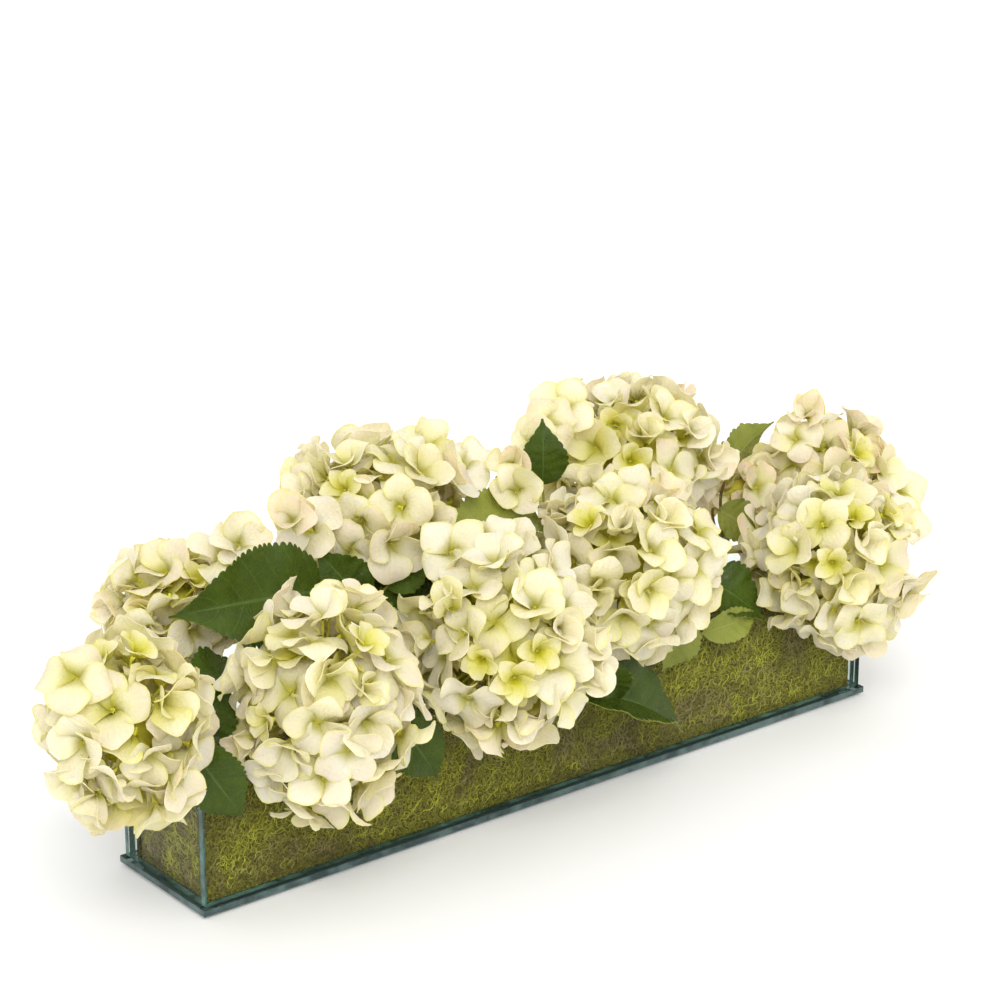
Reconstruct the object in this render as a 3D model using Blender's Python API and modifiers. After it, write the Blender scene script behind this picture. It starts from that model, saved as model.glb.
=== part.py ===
"""Silk hydrangea heads on leafy stems, standing in foam in a moss-lined glass trough.

Metres. The origin is on the floor under the middle of the trough, +X runs along it, +Y to the back.
"""

import math
import random
from typing import NamedTuple

import bmesh
import bpy
from mathutils import Matrix, Vector
from mathutils.bvhtree import BVHTree

# Trough
PLATE_LENGTH = 0.610
PLATE_WIDTH = 0.106
PANE = 0.005
PLATE_LIP = 0.003
RIM_HEIGHT = 0.1015
ARRIS = 0.0004
JOINT = 0.0003
FOOT_HEIGHT = 0.002
FOOT_RADIUS = 0.0065
FOOT_INSET = 0.010
FOOT_TAPER = 0.85
FOOT_SIDES = 16

PLATE_TOP = FOOT_HEIGHT + PANE
WALL_FOOT = PLATE_TOP + JOINT
BOX_HALF_X = PLATE_LENGTH / 2 - PLATE_LIP
BOX_HALF_Y = PLATE_WIDTH / 2 - PLATE_LIP
INNER_X = BOX_HALF_X - PANE
INNER_Y = BOX_HALF_Y - PANE

# Filling
MOSS = 0.005
MOSS_WAVE = 0.0015
MOSS_STEP = 0.070
MOSS_PHASE = 2.1
MOSS_TOP_FRONT = 0.0965
MOSS_TOP_BACK = 0.0905
MOSS_CORNER = 0.007
FOAM_TOP = 0.0840
FOAM_CORNER = 0.012
FOAM_HALF_X = INNER_X - MOSS - 2 * JOINT
FOAM_HALF_Y = INNER_Y - MOSS - 2 * JOINT
COVER_TOP = FOAM_TOP + JOINT + MOSS

# Stems: how far up each stands straight, and the height its head's neck points at
STEM_RADIUS = 0.0024
STEM_DEPTH = 0.045
STEM_STRAIGHT = 0.004
STEM_BEND = 0.018
STEM_STEPS = 4
HOLE_RADIUS = STEM_RADIUS + 0.0007
HOLE_SIDES = 8

# Leaves: outline, teeth, arch and fold are shares of the blade's length or half width
PETIOLE_HALF = 0.0014
PETIOLE_GROOVE = 0.4
PETIOLE_REACH = 0.35
PETIOLE_ROWS = 3
LEAF_FIRST = 2.2
LEAF_STEP = 0.7
LEAF_THICKNESS = 0.0010
LEAF_WIDEST = 0.72
LEAF_FULLNESS = 0.8
LEAF_ARCH = 0.10
LEAF_DROOP = 0.04
LEAF_FOLD = 0.30
LEAF_WAVE = 0.12
LEAF_WAVE_TURN = 9
TOOTH_PITCH = 0.028
TOOTH_DEPTH = 0.14
TOOTH_LEAN = 0.25

# Cores and necks of the heads
CORE_SHARE = 0.50
CORE_SWELL = 1.1
CORE_OVER_RIM = 0.004
NECK_RADIUS = 0.0032
NECK_LENGTH = 0.006
NECK_SIDES = 8

# Florets: each lobe's outline points by angle, reach and lift, over a tapered stalk
FLORET_SIZE = 0.033
FLORET_THICKNESS = 0.0010
LOBES = 4
LOBE_ANGLES = (0, 17, 45, 73)
LOBE_REACHES = (0.52, 0.92, 1.03, 0.92)
LOBE_LIFTS = (0.0, 1.0, 1.0, 1.0)
COLLAR_DROP = 0.0004
STALK_TOP = 0.0026
STALK_FOOT = 0.0016
ROOT_SHARE = 0.72

# How a floret is drawn and fitted: random ranges, then the sizes and reaches tried in turn
SEED = 11
CUP_RANGE = (-0.10, 0.12)
REACH_RANGE = (0.92, 1.06)
LIFT = 0.10
LEAN = 0.22
TURNS = 3
TRIAL_SIZES = (1.0, 0.90, 0.80)
TRIAL_REACHES = (0.88, 0.80, 0.72, 0.64)
CLEARANCE = 0.0005
STEM_SIDE = 0.80
BESIDE_BOX = 0.004
OVER_RIM = 0.008
NEIGHBOUR_SHARE = 0.90

# Vertices closer than this are one
MERGE = 0.00001


class Head(NamedTuple):
    """A flower head: its middle, half sizes, where its stem enters the moss, and the florets tried."""

    centre: tuple[float, float, float]
    across: float
    up: float
    hole: tuple[float, float]
    florets: int


class Leaf(NamedTuple):
    """A leaf: where its blade starts and ends, the way its upper side faces, and its width."""

    base: tuple[float, float, float]
    tip: tuple[float, float, float]
    upward: tuple[float, float, float]
    width: float


HEADS = {
    "head_01": Head((-0.364, -0.046, 0.151), 0.062, 0.075, (-0.276, -0.012), 18),
    "head_02": Head((-0.252, 0.062, 0.181), 0.053, 0.050, (-0.236, 0.022), 15),
    "head_03": Head((-0.222, -0.074, 0.141), 0.068, 0.086, (-0.200, -0.022), 21),
    "head_04": Head((-0.083, 0.055, 0.220), 0.079, 0.057, (-0.100, 0.018), 19),
    "head_05": Head((-0.074, -0.076, 0.142), 0.074, 0.076, (-0.056, -0.022), 21),
    "head_06": Head((0.046, -0.060, 0.170), 0.076, 0.073, (0.044, -0.020), 21),
    "head_07": Head((0.143, 0.058, 0.202), 0.082, 0.056, (0.132, 0.020), 20),
    "head_08": Head((0.256, -0.062, 0.132), 0.074, 0.074, (0.238, -0.020), 20),
    "head_09": Head((0.360, 0.046, 0.155), 0.062, 0.058, (0.278, 0.014), 17),
    "head_10": Head((0.264, 0.052, 0.148), 0.031, 0.029, (0.206, 0.020), 12),
}

LEAVES = {
    "head_01": [
        Leaf((-0.309, -0.056, 0.131), (-0.276, -0.066, 0.077), (-0.5, -0.8, 0.3), 0.050),
        Leaf((-0.330, 0.014, 0.118), (-0.352, 0.072, 0.100), (-0.1, 0.3, 1.0), 0.050),
    ],
    "head_02": [
        Leaf((-0.215, 0.050, 0.128), (-0.182, 0.090, 0.088), (0.1, 0.8, 0.5), 0.052),
    ],
    "head_03": [
        Leaf((-0.166, 0.004, 0.183), (-0.286, 0.004, 0.194), (-0.15, -0.88, 0.45), 0.074),
        Leaf((-0.156, -0.060, 0.112), (-0.121, -0.068, 0.055), (-0.3, -0.9, 0.2), 0.042),
        Leaf((-0.232, 0.002, 0.138), (-0.292, -0.012, 0.150), (-0.3, -0.4, 0.9), 0.044),
    ],
    "head_04": [
        Leaf((-0.130, 0.008, 0.165), (-0.158, 0.022, 0.206), (-0.5, -0.7, 0.5), 0.040),
        Leaf((-0.112, 0.004, 0.172), (-0.078, -0.006, 0.196), (-0.4, -0.6, 0.7), 0.036),
        Leaf((-0.060, 0.052, 0.140), (-0.012, 0.098, 0.118), (0.2, 0.5, 0.9), 0.056),
    ],
    "head_05": [
        Leaf((-0.006, -0.060, 0.106), (0.106, -0.062, 0.036), (-0.2, -0.95, 0.25), 0.052),
        Leaf((-0.134, -0.030, 0.160), (-0.156, -0.020, 0.178), (-0.4, -0.6, 0.7), 0.030),
    ],
    "head_06": [
        Leaf((0.036, -0.084, 0.110), (0.030, -0.096, 0.074), (-0.2, -0.9, -0.3), 0.034),
        Leaf((0.018, -0.004, 0.196), (-0.074, 0.002, 0.200), (-0.2, -0.5, 0.85), 0.050),
        Leaf((0.034, 0.012, 0.214), (0.037, 0.016, 0.262), (-0.5, -0.8, 0.3), 0.036),
        Leaf((0.112, -0.056, 0.116), (0.086, -0.064, 0.080), (-0.2, -0.9, 0.3), 0.036),
    ],
    "head_07": [
        Leaf((0.140, 0.050, 0.128), (0.172, 0.098, 0.098), (0.2, 0.7, 0.7), 0.056),
    ],
    "head_08": [
        Leaf((0.150, -0.034, 0.128), (0.186, -0.064, 0.096), (-0.2, -0.6, 0.8), 0.046),
    ],
    "head_10": [
        Leaf((0.232, 0.030, 0.172), (0.278, 0.032, 0.208), (0.3, 0.8, 0.5), 0.044),
        Leaf((0.215, 0.022, 0.152), (0.246, 0.004, 0.126), (-0.3, -0.8, 0.4), 0.034),
        Leaf((0.240, 0.048, 0.112), (0.282, 0.088, 0.082), (0.1, 0.8, 0.6), 0.050),
    ],
}


def clear_scene():
    """Removes whatever the scene holds."""
    for obj in list(bpy.data.objects):
        bpy.data.objects.remove(obj, do_unlink=True)


def make_material(name, colour, roughness, transmission=0.0):
    """A Principled BSDF material."""
    material = bpy.data.materials.new(name)
    material.use_nodes = True
    material.diffuse_color = (*colour, 1.0)
    shader = material.node_tree.nodes["Principled BSDF"]
    shader.inputs["Base Color"].default_value = (*colour, 1.0)
    shader.inputs["Roughness"].default_value = roughness
    shader.inputs["Metallic"].default_value = 0.0
    shader.inputs["Transmission Weight"].default_value = transmission
    return material


def loose_object(bm, name):
    """An object of a bmesh that is in no collection yet."""
    bmesh.ops.recalc_face_normals(bm, faces=bm.faces[:])
    mesh = bpy.data.meshes.new(name)
    bm.to_mesh(mesh)
    bm.free()
    return bpy.data.objects.new(name, mesh)


def mesh_object(name, bm, material, collection):
    """Turns a bmesh into an object of the collection."""
    obj = loose_object(bm, name)
    collection.objects.link(obj)
    obj.data.materials.append(material)
    return obj


def block(name, low, high, material, collection, arris=0.0):
    """A rectangular block between two corners, its edges eased by a bevel."""
    bm = bmesh.new()
    bmesh.ops.create_cube(bm, size=1.0)
    low = Vector(low)
    high = Vector(high)
    bmesh.ops.scale(bm, vec=high - low, verts=bm.verts[:])
    bmesh.ops.translate(bm, vec=(low + high) / 2, verts=bm.verts[:])
    obj = mesh_object(name, bm, material, collection)
    if arris:
        bevel = obj.modifiers.new("Arris", "BEVEL")
        bevel.width = arris
        bevel.segments = 1
        bevel.limit_method = "ANGLE"
    return obj


def cut_corners(obj, width):
    """Bevels the four upright edges of a block."""
    weights = obj.data.attributes.new("bevel_weight_edge", "FLOAT", "EDGE")
    for edge in obj.data.edges:
        low, high = (obj.data.vertices[index].co for index in edge.vertices)
        if (low.xy - high.xy).length < JOINT:
            weights.data[edge.index].value = 1.0
    bevel = obj.modifiers.new("Corners", "BEVEL")
    bevel.width = width
    bevel.segments = 1
    bevel.limit_method = "WEIGHT"


def add_cone(bm, start, end, start_radius, end_radius, sides):
    """A straight tapered rod between two points."""
    axis = end - start
    turn = axis.to_track_quat("Z", "Y").to_matrix().to_4x4()
    place = Matrix.Translation((start + end) / 2) @ turn
    bmesh.ops.create_cone(
        bm,
        cap_ends=True,
        segments=sides,
        radius1=start_radius,
        radius2=end_radius,
        depth=axis.length,
        matrix=place,
    )


def evaluated_copy(obj, name):
    """A mesh object of what the object's modifiers or curve make: doubles merged, all of it triangles."""
    bpy.context.view_layer.update()
    graph = bpy.context.evaluated_depsgraph_get()
    mesh = bpy.data.meshes.new_from_object(obj.evaluated_get(graph), depsgraph=graph)
    bm = bmesh.new()
    bm.from_mesh(mesh)
    bmesh.ops.remove_doubles(bm, verts=bm.verts[:], dist=MERGE)
    bmesh.ops.triangulate(bm, faces=bm.faces[:], quad_method="BEAUTY", ngon_method="BEAUTY")
    bm.to_mesh(mesh)
    bm.free()
    copy = bpy.data.objects.new(name, mesh)
    copy.matrix_world = obj.matrix_world
    return copy


def tube(points, radius, resolution):
    """A closed mesh tube along a list of points."""
    curve = bpy.data.curves.new("Route", "CURVE")
    curve.dimensions = "3D"
    curve.bevel_depth = radius
    curve.bevel_resolution = resolution
    curve.use_fill_caps = True
    spline = curve.splines.new("POLY")
    spline.points.add(len(points) - 1)
    for knot, point in zip(spline.points, points):
        knot.co = (*point, 1.0)
    guide = bpy.data.objects.new("Route", curve)
    bpy.context.scene.collection.objects.link(guide)
    rod = evaluated_copy(guide, "Rod")
    bpy.data.objects.remove(guide, do_unlink=True)
    return rod


def fuse(name, pieces, material, collection):
    """One body from overlapping pieces, by one Boolean union on a collection."""
    first, *others = pieces
    collection.objects.link(first)
    joined = bpy.data.collections.new("Joined")
    bpy.context.scene.collection.children.link(joined)
    for piece in others:
        joined.objects.link(piece)
    if others:
        union = first.modifiers.new("Union", "BOOLEAN")
        union.operation = "UNION"
        union.operand_type = "COLLECTION"
        union.collection = joined
        union.solver = "EXACT"
    body = evaluated_copy(first, name)
    for piece in pieces:
        bpy.data.objects.remove(piece, do_unlink=True)
    bpy.data.collections.remove(joined)
    body.name = name
    body.data.name = name
    body.data.materials.clear()
    body.data.materials.append(material)
    collection.objects.link(body)
    return body


def tree_of(obj):
    """The collision tree of an object's evaluated mesh, in world space."""
    bpy.context.view_layer.update()
    graph = bpy.context.evaluated_depsgraph_get()
    shown = obj.evaluated_get(graph)
    mesh = shown.to_mesh()
    points = [obj.matrix_world @ vertex.co for vertex in mesh.vertices]
    faces = [tuple(polygon.vertices) for polygon in mesh.polygons]
    shown.to_mesh_clear()
    return BVHTree.FromPolygons(points, faces)


def build_trough(glass, rubber, collection):
    """Plate, four panes and four bumper feet. Gives back the panes."""
    half = Vector((PLATE_LENGTH / 2, PLATE_WIDTH / 2, 0.0))
    low = (-half.x, -half.y, FOOT_HEIGHT)
    high = (half.x, half.y, PLATE_TOP)
    block("base_plate", low, high, glass, collection, ARRIS)
    panes = {
        "glass_front": ((-BOX_HALF_X, -BOX_HALF_Y), (BOX_HALF_X, -INNER_Y)),
        "glass_back": ((-BOX_HALF_X, INNER_Y), (BOX_HALF_X, BOX_HALF_Y)),
        "glass_left": ((-BOX_HALF_X, -INNER_Y + JOINT), (-INNER_X, INNER_Y - JOINT)),
        "glass_right": ((INNER_X, -INNER_Y + JOINT), (BOX_HALF_X, INNER_Y - JOINT)),
    }
    walls = [
        block(name, (*low, WALL_FOOT), (*high, RIM_HEIGHT), glass, collection, ARRIS)
        for name, (low, high) in panes.items()
    ]
    corners = [(side_x, side_y) for side_x in (-1, 1) for side_y in (-1, 1)]
    for number, (side_x, side_y) in enumerate(corners, start=1):
        x = side_x * (half.x - FOOT_INSET)
        y = side_y * (half.y - FOOT_INSET)
        floor = Vector((x, y, 0.0))
        top = Vector((x, y, FOOT_HEIGHT - JOINT))
        bm = bmesh.new()
        add_cone(bm, floor, top, FOOT_RADIUS * FOOT_TAPER, FOOT_RADIUS, FOOT_SIDES)
        foot = mesh_object(f"foot_{number:02d}", bm, rubber, collection)
        foot.data.shade_smooth()
        foot.data.set_sharp_from_angle(angle=math.radians(30))
    return walls


def moss_sheet(name, length, height, place, material, collection):
    """An upright sheet of moss with a wavy top edge."""
    columns = max(3, round(length / MOSS_STEP))
    bm = bmesh.new()
    bmesh.ops.create_grid(bm, x_segments=columns, y_segments=1, size=0.5)
    for vertex in bm.verts:
        share = vertex.co.x
        top = height + MOSS_WAVE * math.sin(share * columns * MOSS_PHASE) if vertex.co.y > 0 else 0.0
        vertex.co = (share * length, 0.0, top)
    bmesh.ops.triangulate(bm, faces=bm.faces[:])
    bmesh.ops.solidify(bm, geom=bm.faces[:], thickness=MOSS)
    low = min(vertex.co.y for vertex in bm.verts)
    bmesh.ops.translate(bm, vec=(0.0, -low - MOSS / 2, 0.0), verts=bm.verts[:])
    bmesh.ops.transform(bm, matrix=place, verts=bm.verts[:])
    return mesh_object(name, bm, material, collection)


def build_filling(foam_material, moss_material, collection, cutters):
    """Foam block and moss, with a plain hole for each stem. Gives back the moss on top."""
    middle_y = INNER_Y - JOINT - MOSS / 2
    middle_x = INNER_X - JOINT - MOSS / 2
    quarter = Matrix.Rotation(math.pi / 2, 4, "Z")
    long_side = 2 * (INNER_X - MOSS_CORNER)
    short_side = 2 * (INNER_Y - MOSS - JOINT * 2)
    sheets = {
        "moss_front": (long_side, MOSS_TOP_FRONT, Matrix.Translation((0, -middle_y, 0))),
        "moss_back": (long_side, MOSS_TOP_BACK, Matrix.Translation((0, middle_y, 0))),
        "moss_left": (short_side, MOSS_TOP_FRONT, Matrix.Translation((-middle_x, 0, 0)) @ quarter),
        "moss_right": (short_side, MOSS_TOP_BACK, Matrix.Translation((middle_x, 0, 0)) @ quarter),
    }
    lift = Matrix.Translation((0, 0, WALL_FOOT))
    for name, (length, top, place) in sheets.items():
        moss_sheet(name, length, top - WALL_FOOT, lift @ place, moss_material, collection)

    corner = (FOAM_HALF_X, FOAM_HALF_Y, FOAM_TOP)
    foam = block("foam_block", (-corner[0], -corner[1], WALL_FOOT), corner, foam_material, collection)
    cut_corners(foam, FOAM_CORNER)
    low = (-FOAM_HALF_X, -FOAM_HALF_Y, FOAM_TOP + JOINT)
    high = (FOAM_HALF_X, FOAM_HALF_Y, COVER_TOP)
    cover = block("moss_cover", low, high, moss_material, collection)

    bm = bmesh.new()
    for head in HEADS.values():
        start = Vector((*head.hole, FOAM_TOP - STEM_DEPTH))
        end = Vector((*head.hole, COVER_TOP + STEM_DEPTH))
        add_cone(bm, start, end, HOLE_RADIUS, HOLE_RADIUS, HOLE_SIDES)
    drill = mesh_object("stem_holes", bm, foam_material, cutters)
    drill.hide_render = True
    drill.display_type = "WIRE"
    for filled in (foam, cover):
        holes = filled.modifiers.new("Stem holes", "BOOLEAN")
        holes.object = drill
        holes.operation = "DIFFERENCE"
        holes.solver = "EXACT"
    return cover


def petiole_frames(foot, base, along, across):
    """Places and frames of the petiole's rows, carried back without twist from the blade's own frame."""
    reach = (base - foot).length * PETIOLE_REACH
    first = foot + Vector((0, 0, reach))
    second = base - along * reach
    frames = []
    heading = along
    side = across
    for row in reversed(range(PETIOLE_ROWS)):
        t = row / PETIOLE_ROWS
        rest = 1 - t
        place = foot * rest**3 + first * 3 * t * rest**2 + second * 3 * t**2 * rest + base * t**3
        slope = (first - foot) * rest**2 + (second - first) * 2 * t * rest + (base - second) * t**2
        slope.normalize()
        side = heading.rotation_difference(slope) @ side
        heading = slope
        frames.append((place, side, side.cross(slope)))
    return frames[::-1]


def leaf_on_petiole(foot, leaf):
    """A thin toothed leaf with a folded, arched midrib, on a channelled petiole that starts at foot."""
    base = Vector(leaf.base)
    blade = Vector(leaf.tip) - base
    length = blade.length
    along = blade.normalized()
    facing = Vector(leaf.upward)
    facing = (facing - facing.dot(along) * along).normalized()
    across = along.cross(facing)
    stalk = petiole_frames(foot, base, along, across)
    blade_rows = 2 * max(2, round(length / TOOTH_PITCH)) + 1
    rows = PETIOLE_ROWS + blade_rows
    bm = bmesh.new()
    bmesh.ops.create_grid(bm, x_segments=2, y_segments=rows, size=1.0)
    for vertex in bm.verts:
        side = round(vertex.co.x)
        row = round((vertex.co.y + 1) / 2 * rows)
        if row < PETIOLE_ROWS:
            middle, level, groove = stalk[row]
            vertex.co = middle + (level * side + groove * abs(side) * PETIOLE_GROOVE) * PETIOLE_HALF
            continue
        row -= PETIOLE_ROWS
        share = row / blade_rows
        half = PETIOLE_HALF
        lean = 0.0
        if 0 < row < blade_rows:
            outline = math.sin(math.pi * share**LEAF_WIDEST) ** LEAF_FULLNESS
            half = max(PETIOLE_HALF, leaf.width / 2 * outline * (1 - TOOTH_DEPTH * (row % 2)))
            lean = TOOTH_LEAN / blade_rows * (1 - row % 2) * abs(side)
        arch = length * (LEAF_ARCH * math.sin(math.pi * share) - LEAF_DROOP * share)
        fold = abs(side) * half * (LEAF_FOLD + LEAF_WAVE * math.sin(share * LEAF_WAVE_TURN + side))
        rib = base + along * length * (share + lean)
        vertex.co = rib + across * side * half + facing * (arch + fold)
    bmesh.ops.triangulate(bm, faces=bm.faces[:], quad_method="FIXED")
    bmesh.ops.solidify(bm, geom=bm.faces[:], thickness=LEAF_THICKNESS)
    return loose_object(bm, "Leaf")


def core_sizes(head):
    """Half sizes of the smaller core that a head's florets stand out of."""
    room = head.centre[2] - RIM_HEIGHT - CORE_OVER_RIM
    wide = head.across * CORE_SHARE
    return Vector((wide, wide, min(head.up * CORE_SHARE, room)))


def neck_of(head):
    """Where a head's neck ends, and the direction it points."""
    centre = Vector(head.centre)
    sizes = core_sizes(head)
    down = (Vector((*head.hole, COVER_TOP + STEM_BEND)) - centre).normalized()
    reach = 1 / math.sqrt(sum((step / size) ** 2 for step, size in zip(down, sizes)))
    return centre + down * (reach + NECK_LENGTH), down


def stem_route(head):
    """Points from the head's neck down into the stem's hole."""
    neck, down = neck_of(head)
    cut = neck + down * JOINT
    start = cut + down * STEM_RADIUS
    end = Vector((*head.hole, COVER_TOP + STEM_STRAIGHT))
    pull = (end - start).length
    route = [cut]
    for step in range(STEM_STEPS + 1):
        t = step / STEM_STEPS
        route.append(
            start * (2 * t**3 - 3 * t**2 + 1)
            + down * pull * (t**3 - 2 * t**2 + t)
            + end * (3 * t**2 - 2 * t**3)
            + Vector((0, 0, -pull)) * (t**3 - t**2)
        )
    route.append(Vector((*head.hole, FOAM_TOP - STEM_DEPTH + JOINT)))
    return route


def build_stem(name, material, collection):
    """A head's stem with its leaves, each on a petiole."""
    route = stem_route(HEADS[name])
    pieces = [tube(route, STEM_RADIUS, 1)]
    for number, leaf in enumerate(LEAVES.get(name, [])):
        knot, share = divmod(LEAF_FIRST + number * LEAF_STEP, 1)
        foot = route[int(knot)].lerp(route[int(knot) + 1], share)
        pieces.append(leaf_on_petiole(foot, leaf))
    return fuse(name.replace("head", "stem"), pieces, material, collection)


def floret_points(draw, place, foot, size, grow):
    """Points of a floret: middle, upper and lower outline, collar, then the stalk's end round foot."""
    top = [Vector((0, 0, grow))]
    for lobe in range(LOBES):
        for angle, reach, lift in zip(LOBE_ANGLES, LOBE_REACHES, LOBE_LIFTS):
            angle = math.radians(360 / LOBES * lobe + angle)
            radius = size * reach * draw["reach"][lobe] + grow
            height = (draw["cup"] * (radius / size) ** 2 + draw["lift"][lobe] * lift) * size
            top.append(Vector((radius * math.cos(angle), radius * math.sin(angle), height + grow)))
    drop = Vector((0, 0, -FLORET_THICKNESS - 2 * grow))
    under = [point + drop for point in top[1:]]
    angles = [2 * math.pi * lobe / LOBES for lobe in range(LOBES)]
    collar = [
        Vector((STALK_TOP * math.cos(angle), STALK_TOP * math.sin(angle), drop.z - COLLAR_DROP))
        for angle in angles
    ]
    points = [place @ point for point in top + under + collar]
    axis = (points[0] - foot).normalized()
    side = points[-LOBES] - points[0]
    side = (side - side.dot(axis) * axis).normalized()
    over = axis.cross(side)
    for angle in angles:
        points.append(foot + (side * math.cos(angle) + over * math.sin(angle)) * (STALK_FOOT + grow))
    return points


def floret_faces():
    """Faces of the closed floret, over the points that floret_points gives."""
    spots = len(LOBE_ANGLES)
    ring = LOBES * spots

    def rim(index):
        return 1 + index % ring

    def low(index):
        return 1 + ring + index % ring

    def neck(lobe):
        return 1 + 2 * ring + lobe % LOBES

    def base(lobe):
        return 1 + 2 * ring + LOBES + lobe % LOBES

    faces = []
    for index in range(ring):
        faces.append((0, rim(index), rim(index + 1)))
        faces.append((rim(index + 1), rim(index), low(index), low(index + 1)))
    for lobe in range(LOBES):
        first = lobe * spots
        faces.append((neck(lobe), low(first + 1), low(first)))
        faces.append((neck(lobe), low(first + 2), low(first + 1)))
        faces.append((neck(lobe), neck(lobe + 1), low(first + 2)))
        faces.append((neck(lobe + 1), low(first + 3), low(first + 2)))
        faces.append((neck(lobe + 1), low(first + 4), low(first + 3)))
        faces.append((neck(lobe + 1), neck(lobe), base(lobe)))
        faces.append((neck(lobe + 1), base(lobe), base(lobe + 1)))
    faces.append(tuple(base(lobe) for lobe in reversed(range(LOBES))))
    return faces


FLORET_FACES = floret_faces()


def spread(count, turn):
    """Directions spread evenly over a sphere."""
    golden = math.pi * (3 - math.sqrt(5))
    for index in range(count):
        z = 1 - (2 * index + 1) / count
        flat = math.sqrt(1 - z * z)
        angle = golden * index + turn
        yield Vector((flat * math.cos(angle), flat * math.sin(angle), z))


def surface_point(head, way, reach):
    """The point at a share of the head's half sizes, out along a direction."""
    return Vector(head.centre) + Vector((way.x * head.across, way.y * head.across, way.z * head.up)) * reach


def share_of(head, point):
    """How far out a point is in a head: 1 on its surface."""
    gap = point - Vector(head.centre)
    return math.hypot(gap.x / head.across, gap.y / head.across, gap.z / head.up)


def crosses(points, trees):
    """Whether a trial floret cuts any of the surfaces."""
    trial = BVHTree.FromPolygons(points, FLORET_FACES)
    return any(trial.overlap(tree) for tree in trees)


def place_floret(rng, head, way, trees):
    """Points of the first trial floret along a direction that clears everything, or None."""
    outward = Vector((way.x / head.across, way.y / head.across, way.z / head.up)).normalized()
    core = core_sizes(head)
    foot = Vector(head.centre) + Vector(step * size for step, size in zip(way, core)) * ROOT_SHARE
    draw = {
        "cup": rng.uniform(*CUP_RANGE),
        "reach": [rng.uniform(*REACH_RANGE) for _ in range(LOBES)],
        "lift": [rng.uniform(-LIFT, LIFT) for _ in range(LOBES)],
    }
    turns = [rng.uniform(0, 2 * math.pi / LOBES) for _ in range(TURNS)]
    lean = Vector(rng.uniform(-LEAN, LEAN) for _ in range(3))
    for share in TRIAL_SIZES:
        axis = (outward + lean * share).normalized()
        tilt = axis.to_track_quat("Z", "Y").to_matrix().to_4x4()
        for reach in TRIAL_REACHES:
            spot = Matrix.Translation(surface_point(head, way, reach))
            for turn in turns:
                place = spot @ tilt @ Matrix.Rotation(turn, 4, "Z")
                trial = floret_points(draw, place, foot, FLORET_SIZE * share, CLEARANCE)
                if not crosses(trial, trees):
                    return floret_points(draw, place, foot, FLORET_SIZE * share, 0.0)
    return None


def hidden(name, way):
    """Whether a floret would sit beside the stem, in the trough or inside another head."""
    head = HEADS[name]
    _neck, down = neck_of(head)
    if way.dot(down) > STEM_SIDE:
        return True
    spot = surface_point(head, way, NEIGHBOUR_SHARE)
    over_box = abs(spot.x) < BOX_HALF_X + BESIDE_BOX and abs(spot.y) < BOX_HALF_Y + BESIDE_BOX
    if over_box and spot.z < RIM_HEIGHT + OVER_RIM:
        return True
    others = (other for key, other in HEADS.items() if key != name)
    return any(share_of(other, spot) < NEIGHBOUR_SHARE for other in others)


def core_and_neck(head):
    """The core of a head and the neck that carries it."""
    bm = bmesh.new()
    bmesh.ops.create_icosphere(bm, subdivisions=1, radius=CORE_SWELL)
    bmesh.ops.scale(bm, vec=core_sizes(head), verts=bm.verts[:])
    bmesh.ops.translate(bm, vec=head.centre, verts=bm.verts[:])
    core = loose_object(bm, "Core")
    end, _down = neck_of(head)
    bm = bmesh.new()
    add_cone(bm, Vector(head.centre), end, NECK_RADIUS, NECK_RADIUS, NECK_SIDES)
    return [core, loose_object(bm, "Neck")]


def build_heads(material, collection, surfaces):
    """Florets on every head, each clear of what already stands."""
    rng = random.Random(SEED)
    fixed = [tree_of(obj) for obj in surfaces]
    cores = {name: core_and_neck(head) for name, head in HEADS.items()}
    grown = {name: [tree_of(piece) for piece in pieces] for name, pieces in cores.items()}
    for name, head in HEADS.items():
        near = fixed + [tree for other in HEADS if other != name for tree in grown[other]]
        near.append(grown[name][1])
        pieces = cores[name]
        for way in spread(head.florets, rng.uniform(0, 2 * math.pi)):
            points = None if hidden(name, way) else place_floret(rng, head, way, near)
            if points is None:
                continue
            floret = BVHTree.FromPolygons(points, FLORET_FACES)
            near.append(floret)
            grown[name].append(floret)
            mesh = bpy.data.meshes.new("Floret")
            mesh.from_pydata(points, [], FLORET_FACES)
            pieces.append(bpy.data.objects.new("Floret", mesh))
        fuse(name, pieces, material, collection)


def main():
    """Builds the trough, its filling, the leafy stems and the flower heads."""
    clear_scene()
    scene = bpy.context.scene
    scene.unit_settings.system = "METRIC"
    arrangement = bpy.data.collections.new("Flower arrangement in glass box")
    cutters = bpy.data.collections.new("Cutters")
    scene.collection.children.link(arrangement)
    scene.collection.children.link(cutters)

    glass = make_material("Clear glass", (0.82, 0.90, 0.88), 0.03, 0.9)
    rubber = make_material("Clear bumper", (0.75, 0.78, 0.78), 0.25, 0.6)
    foam = make_material("Dry foam", (0.16, 0.24, 0.12), 0.95)
    moss = make_material("Moss", (0.27, 0.30, 0.06), 1.0)
    green = make_material("Leaf cloth", (0.05, 0.13, 0.04), 0.7)
    petal = make_material("Petal cloth", (0.86, 0.86, 0.62), 0.75)

    surfaces = build_trough(glass, rubber, arrangement)
    surfaces.append(build_filling(foam, moss, arrangement, cutters))
    for name in HEADS:
        surfaces.append(build_stem(name, green, arrangement))
    build_heads(petal, arrangement, surfaces)


main()
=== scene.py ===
"""Looks of silk hydrangeas in a long moss-lined glass box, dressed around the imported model.

Metres. +X runs along the box, +Y to its back and +Z up, with the origin on the table under its middle.
"""

import logging
import math
import random
from dataclasses import dataclass, field, replace
from enum import Enum

import bmesh
import bpy
import numpy as np
from mathutils import Matrix, Quaternion, Vector, noise
from mathutils.bvhtree import BVHTree


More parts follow.
